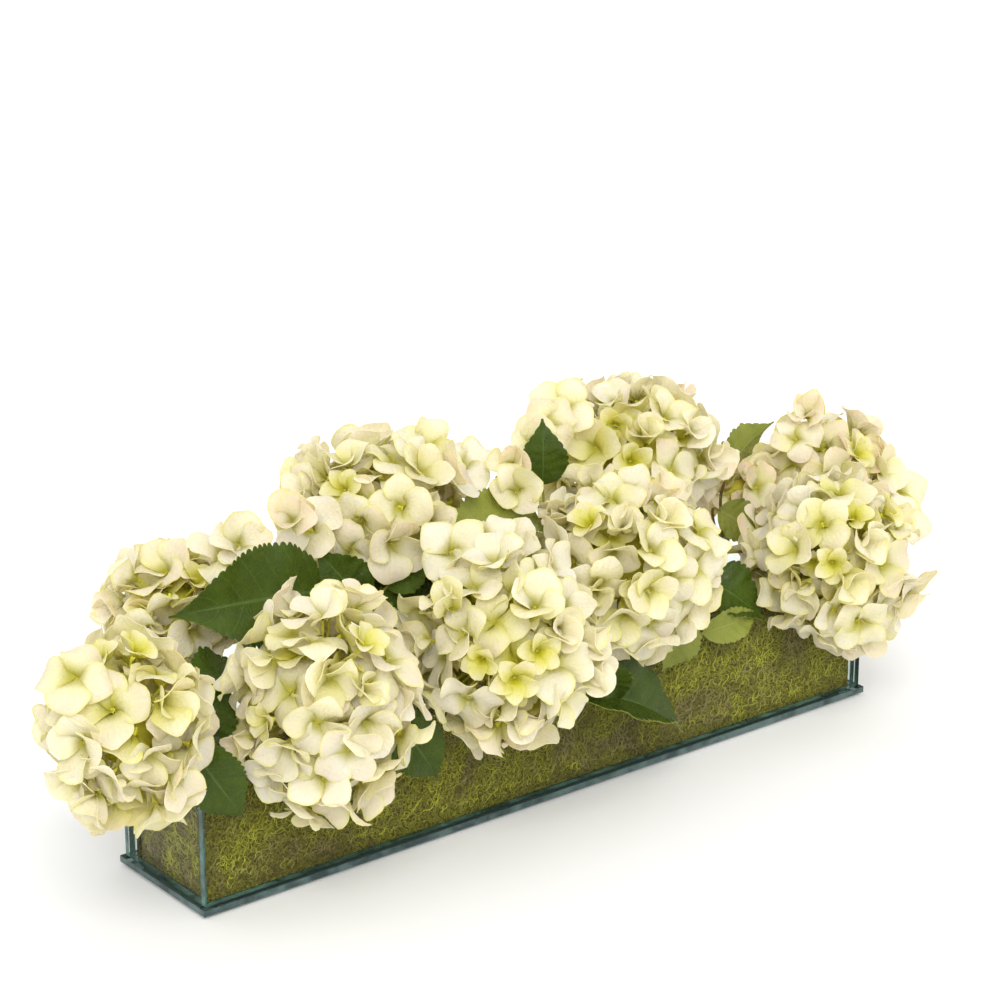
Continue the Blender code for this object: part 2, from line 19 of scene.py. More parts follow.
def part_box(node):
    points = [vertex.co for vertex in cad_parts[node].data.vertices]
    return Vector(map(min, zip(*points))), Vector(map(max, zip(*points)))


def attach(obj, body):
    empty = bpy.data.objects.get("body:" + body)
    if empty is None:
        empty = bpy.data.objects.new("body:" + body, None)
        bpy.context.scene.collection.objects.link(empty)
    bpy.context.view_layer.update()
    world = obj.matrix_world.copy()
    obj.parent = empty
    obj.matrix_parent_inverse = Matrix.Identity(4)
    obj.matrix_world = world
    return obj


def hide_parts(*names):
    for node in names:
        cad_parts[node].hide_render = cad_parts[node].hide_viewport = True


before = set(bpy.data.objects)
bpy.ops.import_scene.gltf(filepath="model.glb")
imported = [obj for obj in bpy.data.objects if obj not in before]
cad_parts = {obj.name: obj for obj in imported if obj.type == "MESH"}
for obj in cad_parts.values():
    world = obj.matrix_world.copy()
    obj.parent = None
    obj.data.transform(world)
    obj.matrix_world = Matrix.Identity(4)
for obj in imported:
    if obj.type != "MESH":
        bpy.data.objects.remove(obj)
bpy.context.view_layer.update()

LOG = logging.getLogger("arrangement")
BODY = "root"
SEED = 29
# the angle in degrees past which an edge is drawn sharp
SHARP = 50.0
# a vertex of a floret keeps its petal's number as a share of this, and the last number is the bead's
MARKS = 8
# the glass solids, each with the axis through its thickness
GLASS = {"base_plate": 2, "glass_front": 1, "glass_back": 1, "glass_left": 0, "glass_right": 0}

Colour = tuple[float, float, float, float]
Socket = bpy.types.NodeSocket


def srgb(red: int, green: int, blue: int) -> Colour:
    """Return the linear colour of three 8-bit screen values."""
    levels = [value / 255 for value in (red, green, blue)]
    return (*[s / 12.92 if s <= 0.04045 else ((s + 0.055) / 1.055) ** 2.4 for s in levels], 1.0)


def smooth(value: float, low: float, high: float) -> float:
    """Return 0 below low and 1 above high, eased between them."""
    share = min(1.0, max(0.0, (value - low) / (high - low)))
    return share * share * (3 - 2 * share)


def shares(way: Vector, across: float, up: float) -> Vector:
    """Return a vector as shares of an ellipsoid's half sizes."""
    return Vector((way.x / across, way.y / across, way.z / up))


def scatter(rng: random.Random) -> Vector:
    """Draw a vector that is spread evenly round the origin."""
    return Vector((rng.gauss(0, 1), rng.gauss(0, 1), rng.gauss(0, 1)))


class Slot(Enum):
    """The record's material slot names for moss, foliage and petals; no piece here is given one."""

    MOSS = "moss"
    FOLIAGE = "foliage"
    PETALS = "petals"


class Shader:
    """A material and its node tree, with short calls for the nodes that the finishes share."""

    def __init__(self, name: str) -> None:
        """Start a material that has one Principled shader.

        Args:
            name: The material's name.
        """
        self.material = bpy.data.materials.new(name)
        self.material.use_nodes = True
        self.tree = self.material.node_tree
        self.surface = self.tree.nodes["Principled BSDF"]
        self.output = self.tree.nodes["Material Output"]

    def feed(self, socket: Socket, value: object) -> None:
        """Link a socket to another socket, or set its own value.

        Args:
            socket: The input to set.
            value: A socket to link from, or a plain value.
        """
        if isinstance(value, bpy.types.NodeSocket):
            self.tree.links.new(value, socket)
        else:
            socket.default_value = value

    def add(self, kind: str, inputs: dict[int | str, object], **settings: object) -> bpy.types.Node:
        """Add a node.

        Args:
            kind: The node's type name without its ShaderNode prefix.
            inputs: Values or sockets by input name or number.
            **settings: The node's own properties.

        Returns:
            The new node.
        """
        node = self.tree.nodes.new("ShaderNode" + kind)
        for key, value in settings.items():
            setattr(node, key, value)
        for key, value in inputs.items():
            self.feed(node.inputs[key], value)
        return node

    def place(self) -> Socket:
        """Return the Object coordinates."""
        return self.add("TexCoord", {}).outputs["Object"]

    def parts(self, value: Socket) -> list[Socket]:
        """Return a vector's or colour's three numbers."""
        return list(self.add("SeparateXYZ", {0: value}).outputs)

    def attribute(self, name: str) -> list[Socket]:
        """Return the three numbers of a vertex attribute."""
        return self.parts(self.add("Attribute", {}, attribute_name=name).outputs["Vector"])

    def calc(self, operation: str, first: object, second: object = 0.0, clamp: bool = False) -> Socket:
        """Return one math operation on two numbers.

        Args:
            operation: The math node's operation.
            first: The first number or socket.
            second: The second number or socket.
            clamp: True to keep the result between 0 and 1.

        Returns:
            The result's socket.
        """
        return self.add("Math", {0: first, 1: second}, operation=operation, use_clamp=clamp).outputs[0]

    def ease(self, value: Socket, low: float, high: float, top: float = 1.0) -> Socket:
        """Return a smooth step.

        Args:
            value: What is read.
            low: Where the step starts, which may be above its end.
            high: Where it ends.
            top: The step's height.

        Returns:
            The result's socket.
        """
        inputs = {"Value": value, "From Min": low, "From Max": high, "To Max": top}
        return self.add("MapRange", inputs, interpolation_type="SMOOTHSTEP").outputs[0]

    def blend(self, share: object, first: object, second: object, kind: str = "MIX") -> Socket:
        """Return a mix of two colours.

        Args:
            share: How much of the second colour shows.
            first: The first colour.
            second: The second colour.
            kind: The mix node's blend type.

        Returns:
            The mixed colour's socket.
        """
        node = self.add("Mix", {0: share, 6: first, 7: second}, data_type="RGBA", blend_type=kind)
        return node.outputs[2]

    def noise(self, place: Socket, scale: float, detail: float = 3.0, bend: float = 0.0) -> Socket:
        """Return a noise pattern's strength.

        Args:
            place: The coordinates it reads.
            scale: Waves per metre.
            detail: How many finer waves are added.
            bend: How far the pattern is warped.

        Returns:
            The strength's socket.
        """
        inputs = {"Vector": place, "Scale": scale, "Detail": detail, "Distortion": bend}
        return self.add("TexNoise", inputs).outputs[0]

    def bump(self, height: Socket, distance: float, strength: float = 1.0) -> None:
        """Raise the surface by a pattern, at most by distance in metres."""
        node = self.add("Bump", {"Height": height, "Distance": distance, "Strength": strength})
        self.feed(self.surface.inputs["Normal"], node.outputs[0])

    def paint(self, colour: Socket) -> None:
        """Set the surface's own colour."""
        self.feed(self.surface.inputs["Base Color"], colour)

    def gloss(self, roughness: object, level: float = 0.5) -> None:
        """Set the surface's roughness and specular level."""
        self.feed(self.surface.inputs["Roughness"], roughness)
        self.surface.inputs["Specular IOR Level"].default_value = level

    def glow_through(self, colour: Socket, share: float) -> None:
        """Let light from behind show through a thin surface.

        Args:
            colour: The colour of the light that comes through.
            share: How much of the surface is lit from behind.
        """
        behind = self.add("BsdfTranslucent", {"Color": colour})
        if self.surface.inputs["Normal"].is_linked:
            self.feed(behind.inputs["Normal"], self.surface.inputs["Normal"].links[0].from_socket)
        mixed = self.add("MixShader", {0: share, 1: self.surface.outputs[0], 2: behind.outputs[0]})
        self.feed(self.output.inputs["Surface"], mixed.outputs[0])

    def see_through(self, share: object, tint: Colour, mirror: object = None) -> None:
        """Show what is behind the surface over part of it.

        Args:
            share: How much of the surface stays solid.
            tint: The colour of what is seen through it.
            mirror: How much the clear part mirrors, if it does.
        """
        clear = self.add("BsdfTransparent", {"Color": tint}).outputs[0]
        if mirror is not None:
            shine = self.add("BsdfGlossy", {"Color": (1, 1, 1, 1), "Roughness": 0.03}).outputs[0]
            clear = self.add("MixShader", {0: mirror, 1: clear, 2: shine}).outputs[0]
        mixed = self.add("MixShader", {0: share, 1: clear, 2: self.surface.outputs[0]})
        self.feed(self.output.inputs["Surface"], mixed.outputs[0])


@dataclass(frozen=True)
class GlassFinish:
    """Clear float glass that is green at its cut edges, with faint smears."""

    tint: Colour = (0.965, 0.985, 0.975, 1.0)
    edge: Colour = srgb(88, 122, 112)
    deep: Colour = srgb(40, 64, 58)
    mirror: float = 0.50
    smear_scale: float = 26.0

    def material(self, name: str, across: int) -> bpy.types.Material:
        """Make the finish for one pane.

        Args:
            name: The material's name.
            across: The axis that runs through the pane's thickness.

        Returns:
            The material.
        """
        shader = Shader(name)
        place = shader.place()
        facing = shader.parts(shader.add("TexCoord", {}).outputs["Normal"])[across]
        edge = shader.ease(shader.calc("ABSOLUTE", facing), 0.9, 0.5)
        streak = shader.ease(shader.noise(place, 70.0, 4.0, 0.5), 0.30, 0.70)
        shader.paint(shader.blend(streak, self.deep, self.edge))
        shader.gloss(shader.ease(shader.noise(place, self.smear_scale, 5.0), 0.4, 0.8, 0.2))
        grazing = shader.calc("POWER", shader.add("LayerWeight", {}).outputs["Facing"], 5.0)
        smear = shader.ease(shader.noise(place, self.smear_scale, 5.0, 0.6), 0.55, 0.85, 0.02)
        shine = shader.calc("MULTIPLY", shader.calc("ADD", grazing, smear), self.mirror, clamp=True)
        shader.see_through(edge, self.tint, shine)
        return shader.material


@dataclass(frozen=True)
class BumperFinish:
    """Clear soft bumper, slightly cloudy."""

    body: Colour = srgb(214, 222, 220)
    cloud: Colour = srgb(188, 198, 196)
    solid: float = 0.55

    def material(self) -> bpy.types.Material:
        """Make the finish.

        Returns:
            The material.
        """
        shader = Shader("clear_bumper")
        cloud = shader.noise(shader.place(), 420.0)
        shader.paint(shader.blend(cloud, self.body, self.cloud))
        shader.gloss(shader.ease(cloud, 0.2, 0.8, 0.4))
        shader.see_through(self.solid, (0.92, 0.94, 0.94, 1.0))
        return shader.material


@dataclass(frozen=True)
class FoamFinish:
    """Dry green flower foam with open pores."""

    body: Colour = srgb(92, 108, 66)
    pore: Colour = srgb(48, 62, 36)

    def material(self) -> bpy.types.Material:
        """Make the finish.

        Returns:
            The material.
        """
        shader = Shader("flower_foam")
        cells = shader.add("TexVoronoi", {"Vector": shader.place(), "Scale": 900.0}).outputs[0]
        wall = shader.ease(cells, 0.15, 0.55)
        shader.paint(shader.blend(wall, self.pore, self.body))
        shader.gloss(0.95, 0.15)
        shader.bump(wall, 0.0006)
        return shader.material


@dataclass(frozen=True)
class MossFinish:
    """Dried moss: yellow-green threads over brown-grey patches."""

    bright: Colour = srgb(210, 205, 74)
    green: Colour = srgb(162, 157, 58)
    brown: Colour = srgb(148, 130, 96)
    # the dark flecks on the threads and the mat's ground between them; on the mat it is partly painted
    # shade of the tangle's gaps
    dark: Colour = srgb(84, 76, 34)
    rust: Colour = srgb(122, 84, 44)
    patch_scale: float = 21.0
    thread_scale: float = 440.0
    rust_from: float = 0.0915
    rust_full: float = 0.0955

    def patches(self, shader: Shader, place: Socket) -> Socket:
        """Return how brown the moss is at a place."""
        wide = shader.noise(place, self.patch_scale, 4.0, 0.8)
        return shader.ease(wide, 0.44, 0.66)

    def rusted(self, shader: Shader, place: Socket, colour: Socket) -> Socket:
        """Return a colour turned rusty along the sheets' top edge."""
        share = shader.ease(shader.parts(place)[2], self.rust_from, self.rust_full, 0.75)
        return shader.blend(share, colour, self.rust)

    def sheet(self) -> bpy.types.Material:
        """Make the finish of the matted sheet behind the threads, whose dark ground is partly painted
        shade.

        Returns:
            The material.
        """
        shader = Shader("moss_mat")
        place = shader.place()
        threads = shader.noise(place, self.thread_scale, 2.0, 0.8)
        lines = shader.ease(shader.calc("ABSOLUTE", shader.calc("SUBTRACT", threads, 0.5)), 0.05, 0.0)
        patches = self.patches(shader, place)
        # the mat's ground: dark between its threads, partly painted shade of the gaps in the tangle
        body = shader.blend(shader.ease(threads, 0.45, 0.75, 0.5), self.dark, self.green)
        tangle = shader.blend(patches, self.bright, self.brown)
        colour = shader.blend(shader.calc("MULTIPLY", lines, 0.85), body, tangle)
        shader.paint(self.rusted(shader, place, colour))
        shader.gloss(0.95, 0.2)
        shader.bump(shader.calc("ADD", threads, lines), 0.0009)
        return shader.material

    def threads(self) -> bpy.types.Material:
        """Make the finish of the loose threads, whose tint attribute varies from thread to thread.

        Returns:
            The material.
        """
        shader = Shader("moss_thread")
        place = shader.place()
        brown, shade, _ = shader.attribute("tint")
        patch = shader.calc("MULTIPLY", self.patches(shader, place), 0.85)
        share = shader.calc("ADD", patch, shader.ease(brown, 0.72, 1.0, 0.7), clamp=True)
        fresh = shader.blend(shade, self.green, self.bright)
        colour = shader.blend(share, fresh, self.brown)
        fleck = shader.ease(shader.noise(place, 900.0), 0.3, 0.7, 0.25)
        colour = shader.blend(fleck, self.rusted(shader, place, colour), self.dark)
        shader.paint(colour)
        shader.gloss(0.8, 0.3)
        shader.bump(shader.noise(place, 2400.0), 0.0002)
        return shader.material


@dataclass(frozen=True)
class PetalFinish:
    """Thin petal cloth: cream, lime at the throat, with a green rim line, faint veins and some blush. The
    throat's deep olive-yellow is partly painted shade of the floret's hollow.
    """

    cream: Colour = srgb(253, 249, 244)
    yellow: Colour = srgb(251, 247, 234)
    lime: Colour = srgb(233, 229, 60)
    # lime of the throat, darkened to a deep olive-yellow that is partly painted shade of the floret's
    # hollow
    throat: Colour = srgb(196, 191, 8)
    rim: Colour = srgb(236, 234, 132)
    blush: Colour = srgb(250, 228, 212)
    bead: Colour = srgb(226, 218, 70)
    glow: Colour = srgb(255, 250, 166)
    through: float = 0.50
    glow_share: float = 0.32
    veins: float = 7.0
    vein_share: float = 0.10
    vein_depth: float = 0.4
    crinkle: float = 5.5
    crinkle_scale: float = 360.0
    relief: float = 0.00016
    sheen: float = 0.15

    def material(self) -> bpy.types.Material:
        """Make the finish, which reads each vertex's place on its petal and its floret's tint.

        Returns:
            The material.
        """
        shader = Shader("petal_cloth")
        place = shader.place()
        across, along, bead = shader.attribute("petal")
        green, blush, shade = shader.attribute("tint")
        centred = shader.add("CombineXYZ", {0: across, 1: along}).outputs[0]
        distance = shader.add("VectorMath", {0: centred, 1: (0.5, 0.5, 0.0)}, operation="DISTANCE")
        radius = shader.calc("MULTIPLY", distance.outputs["Value"], 2.0)
        colour = shader.blend(shader.ease(shader.noise(place, 70.0), 0.40, 0.70), self.cream, self.yellow)
        # the tint's green, which on the inner layers' florets is painted shade of the head's depths
        lime = shader.calc("MULTIPLY", green, shader.ease(along, 1.3, 0.1), clamp=True)
        colour = shader.blend(lime, colour, self.lime)
        tipward = shader.calc("MULTIPLY", shader.ease(along, 0.30, 0.95), blush, clamp=True)
        colour = shader.blend(tipward, colour, self.blush)
        rim = shader.calc("MULTIPLY", shader.ease(radius, 0.80, 1.02), shader.ease(shade, 0.1, 0.8, 0.60))
        colour = shader.blend(rim, colour, self.rim)
        spread = shader.calc("ADD", along, 0.30)
        fan = shader.calc("DIVIDE", shader.calc("SUBTRACT", across, 0.5), spread)
        wave = shader.calc("SINE", shader.calc("MULTIPLY", fan, self.veins * 2 * math.pi))
        vein = shader.ease(wave, 0.70, 1.0)
        colour = shader.blend(shader.calc("MULTIPLY", vein, self.vein_share), colour, self.lime)
        # the throat: its real lime, deepened by painted shade of the floret's hollow
        colour = shader.blend(shader.ease(along, 0.44, 0.04, 0.85), colour, self.throat)
        colour = shader.blend(bead, colour, self.bead)
        shader.paint(colour)
        shader.gloss(shader.ease(shader.noise(place, 240.0), 0.2, 0.8, 0.85), 0.25)
        crease = shader.noise(place, self.crinkle_scale, 4.0, 0.6)
        raised = shader.calc("MULTIPLY", crease, self.crinkle)
        height = shader.calc("SUBTRACT", raised, shader.calc("MULTIPLY", vein, self.vein_depth))
        shader.bump(height, self.relief)
        shader.surface.inputs["Sheen Weight"].default_value = self.sheen
        shader.glow_through(shader.blend(self.glow_share, colour, self.glow), self.through)
        return shader.material


@dataclass(frozen=True)
class LeafFinish:
    """Printed leaf cloth: matt dark green above and olive below, with pale veins."""

    upper: Colour = srgb(40, 54, 8)
    upper_light: Colour = srgb(80, 100, 24)
    upper_vein: Colour = srgb(84, 108, 44)
    under: Colour = srgb(120, 132, 50)
    under_light: Colour = srgb(148, 152, 68)
    under_vein: Colour = srgb(160, 160, 86)
    veins: int = 7
    sweep: float = 0.16
    net: float = 420.0
    through: float = 0.12

    def material(self, name: str, body: Colour, light: Colour, vein: Colour) -> bpy.types.Material:
        """Make the finish of one side of a leaf.

        Args:
            name: The material's name.
            body: The darker ground colour.
            light: The lighter ground colour.
            vein: The colour of the veins.

        Returns:
            The material.
        """
        shader = Shader(name)
        place = shader.place()
        across, along, _ = shader.attribute("blade")
        side = shader.calc("ABSOLUTE", shader.calc("SUBTRACT", shader.calc("MULTIPLY", across, 2.0), 1.0))
        branch = shader.calc("SUBTRACT", along, shader.calc("MULTIPLY", side, self.sweep))
        turns = shader.calc("FRACT", shader.calc("MULTIPLY", branch, float(self.veins)))
        off = shader.calc("ABSOLUTE", shader.calc("SUBTRACT", turns, 0.5))
        branches = shader.ease(off, 0.44, 0.50)
        rib = shader.ease(side, 0.06, 0.01, 0.8)
        lines = shader.calc("MAXIMUM", shader.calc("MULTIPLY", branches, 0.45), rib)
        net = shader.add("TexVoronoi", {"Vector": place, "Scale": self.net}, feature="DISTANCE_TO_EDGE")
        mesh = shader.ease(net.outputs[0], 0.10, 0.0, 0.25)
        ground = shader.blend(shader.noise(place, 55.0), body, light)
        colour = shader.blend(shader.calc("MAXIMUM", lines, mesh), ground, vein)
        shader.paint(colour)
        shader.gloss(shader.ease(shader.noise(place, 300.0), 0.0, 1.2, 0.9), 0.2)
        shader.bump(shader.calc("ADD", lines, mesh), 0.0005, 0.8)
        shader.glow_through(light, self.through)
        return shader.material


@dataclass(frozen=True)
class StalkFinish:
    """Paper-taped wire and stalks, olive with brown stretches."""

    olive: Colour = srgb(138, 140, 54)
    brown: Colour = srgb(104, 80, 42)

    def material(self, name: str) -> bpy.types.Material:
        """Make the finish.

        Args:
            name: The material's name.

        Returns:
            The material.
        """
        shader = Shader(name)
        place = shader.place()
        brown = shader.ease(shader.noise(place, 60.0, 3.0, 0.5), 0.35, 0.62)
        shader.paint(shader.blend(brown, self.olive, self.brown))
        shader.gloss(0.8, 0.3)
        shader.bump(shader.noise(place, 900.0), 0.0004)
        return shader.material


@dataclass(frozen=True)
class FloorFinish:
    """A plain white studio floor with a faint grain."""

    white: Colour = (0.85, 0.85, 0.85, 1.0)
    grain: Colour = (0.83, 0.83, 0.83, 1.0)
    lit: float = 0.04

    def material(self) -> bpy.types.Material:
        """Make the finish.

        Returns:
            The material.
        """
        shader = Shader("studio_floor")
        grain = shader.noise(shader.place(), 3.0)
        shader.paint(shader.blend(grain, self.white, self.grain))
        shader.gloss(0.9, 0.1)
        shader.surface.inputs["Emission Color"].default_value = self.white
        shader.surface.inputs["Emission Strength"].default_value = self.lit
        return shader.material


def new_bmesh(*layers: str) -> bmesh.types.BMesh:
    """Start a bmesh.

    Args:
        *layers: The names of its vertices' colour layers.

    Returns:
        The empty bmesh.
    """
    bm = bmesh.new()
    for layer in layers:
        bm.verts.layers.float_color.new(layer)
    return bm


def make_mesh(bm: bmesh.types.BMesh, name: str) -> bpy.types.Mesh:
    """Turn a bmesh into a mesh.

    Args:
        bm: The shape, which is freed.
        name: The mesh's name.

    Returns:
        The mesh.
    """
    mesh = bpy.data.meshes.new(name)
    bm.to_mesh(mesh)
    bm.free()
    return mesh


def add_object(name: str, data: bpy.types.ID) -> bpy.types.Object:
    """Put a new object in the scene.

    Args:
        name: The object's name.
        data: Its mesh, light or camera.

    Returns:
        The object.
    """
    item = bpy.data.objects.new(name, data)
    bpy.context.scene.collection.objects.link(item)
    return item


def finish_piece(
    bm: bmesh.types.BMesh, name: str, materials: list[bpy.types.Material], node: str
) -> None:
    """Turn a bmesh into a shaded piece that rides with the box and stands for a node.

    Args:
        bm: The piece's shape, which is freed.
        name: The piece's name.
        materials: Its materials, in the order of its faces' numbers.
        node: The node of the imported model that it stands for.
    """
    mesh = make_mesh(bm, name)
    mesh.shade_smooth()
    mesh.set_sharp_from_angle(angle=math.radians(SHARP))
    for material in materials:
        mesh.materials.append(material)
    piece = add_object(name, mesh)
    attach(piece, BODY)
    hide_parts(node)
    mesh.calc_loop_triangles()
    LOG.info("%s: %d triangles", name, len(mesh.loop_triangles))


def sweep(bm: bmesh.types.BMesh, path: list[Vector], radii: list[float], sides: int) -> None:
    """Add a closed round tube along a path.

    Args:
        bm: Where the tube is added.
        path: The points on its middle line.
        radii: Its radius at each point.
        sides: How many sides it has.
    """
    heading = (path[1] - path[0]).normalized()
    turn = heading.to_track_quat("Z", "Y")
    before = Matrix.LocRotScale(path[0], turn, Vector((radii[0],) * 3))
    ring = bmesh.ops.create_circle(bm, cap_ends=False, segments=sides, radius=1.0, matrix=before)
    edges = list(dict.fromkeys(edge for vertex in ring["verts"] for edge in vertex.link_edges))
    ends = list(edges)
    faces = []
    for number in range(1, len(path)):
        ahead = path[min(number + 1, len(path) - 1)]
        slope = (ahead - path[number - 1]).normalized()
        turn = heading.rotation_difference(slope) @ turn
        heading = slope
        now = Matrix.LocRotScale(path[number], turn, Vector((radii[number],) * 3))
        grown = bmesh.ops.extrude_edge_only(bm, edges=edges)["geom"]
        edges = [part for part in grown if isinstance(part, bmesh.types.BMEdge)]
        faces += [part for part in grown if isinstance(part, bmesh.types.BMFace)]
        corners = [part for part in grown if isinstance(part, bmesh.types.BMVert)]
        bmesh.ops.transform(bm, matrix=now @ before.inverted(), verts=corners)
        before = now
    faces += bmesh.ops.holes_fill(bm, edges=ends + edges, sides=0)["faces"]
    bmesh.ops.recalc_face_normals(bm, faces=faces)


def smooth_path(points: list[Vector], steps: int) -> list[Vector]:
    """Return a rounded path through some points.

    Args:
        points: The points that it passes through.
        steps: How many stretches lie between two points.

    Returns:
        The path's points.
    """
    path = []
    last = len(points) - 1
    for number in range(last):
        before = points[max(0, number - 1)]
        start = points[number]
        end = points[number + 1]
        after = points[min(last, number + 2)]
        for step in range(steps):
            t = step / steps
            path.append(
                0.5
                * (
                    2 * start
                    + (end - before) * t
                    + (2 * before - 5 * start + 4 * end - after) * t**2
                    + (3 * start - before - 3 * end + after) * t**3
                )
            )
    return path + [points[-1]]


def add_copy(bm: bmesh.types.BMesh, pattern: bpy.types.Mesh, matrix: Matrix, tint: np.ndarray) -> None:
    """Add a placed copy of a pattern with its own tint.

    Args:
        bm: Where the copy is added.
        pattern: The mesh that is copied, which has a tint attribute.
        matrix: Where the copy goes.
        tint: One RGBA row for each vertex of the pattern.
    """
    copy = pattern.copy()
    copy.transform(matrix)
    copy.attributes["tint"].data.foreach_set("color", tint.astype(np.float32).ravel())
    bm.from_mesh(copy)
    bpy.data.meshes.remove(copy)


@dataclass(frozen=True)
class BoxSizes:
    """The glass box's half sizes, and how high its rim, its top moss and its stems' feet are."""

    outer_x: float
    outer_y: float
    rim: float
    cover_top: float
    stem_foot: float

    @classmethod
    def read(cls) -> "BoxSizes":
        """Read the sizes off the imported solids.

        Returns:
            The sizes, to a tenth of a millimetre.
        """
        low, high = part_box("glass_front")
        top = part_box("moss_cover")[1].z
        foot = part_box("stem_01")[0].z
        return cls(*[round(size, 4) for size in (high.x, -low.y, high.z, top, foot)])


BOX = BoxSizes.read()


@dataclass
class GlassBox:
    """The glass panes, their plate, the clear bumpers and the foam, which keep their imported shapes."""

    pane: GlassFinish = GlassFinish()
    plate: GlassFinish = GlassFinish((0.55, 0.63, 0.62, 1.0), srgb(82, 104, 100), srgb(38, 58, 58))
    bumper: BumperFinish = BumperFinish()
    foam: FoamFinish = FoamFinish()
    feet: int = 4

    def dress(self) -> None:
        """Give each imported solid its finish."""
        for name, across in GLASS.items():
            glass = self.plate if name == "base_plate" else self.pane
            self.coat(name, glass.material("float_" + name, across))
        clear = self.bumper.material()
        for number in range(1, self.feet + 1):
            self.coat(f"foot_{number:02d}", clear)
        self.coat("foam_block", self.foam.material())
        LOG.info("glass box: plate and %d panes, %d bumpers, foam", len(GLASS) - 1, self.feet)

    def coat(self, name: str, material: bpy.types.Material) -> None:
        """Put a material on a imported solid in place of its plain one.

        Args:
            name: The solid's node.
            material: Its finish.
        """
        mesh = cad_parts[name].data
        mesh.materials.clear()
        mesh.materials.append(material)


class Side(Enum):
    """The moss sheets, each with its outward direction and how many threads lie on it."""

    FRONT = ("moss_front", (0, -1, 0), 2200)
    BACK = ("moss_back", (0, 1, 0), 1600)
    LEFT = ("moss_left", (-1, 0, 0), 360)
    RIGHT = ("moss_right", (1, 0, 0), 300)
    COVER = ("moss_cover", (0, 0, 1), 450)


@dataclass(frozen=True)
class MossFace:
    """A moss sheet's outer face: its middle, its directions along, up and out, and its half sizes."""

    middle: Vector
    turn: Matrix
    half_along: float
    half_up: float


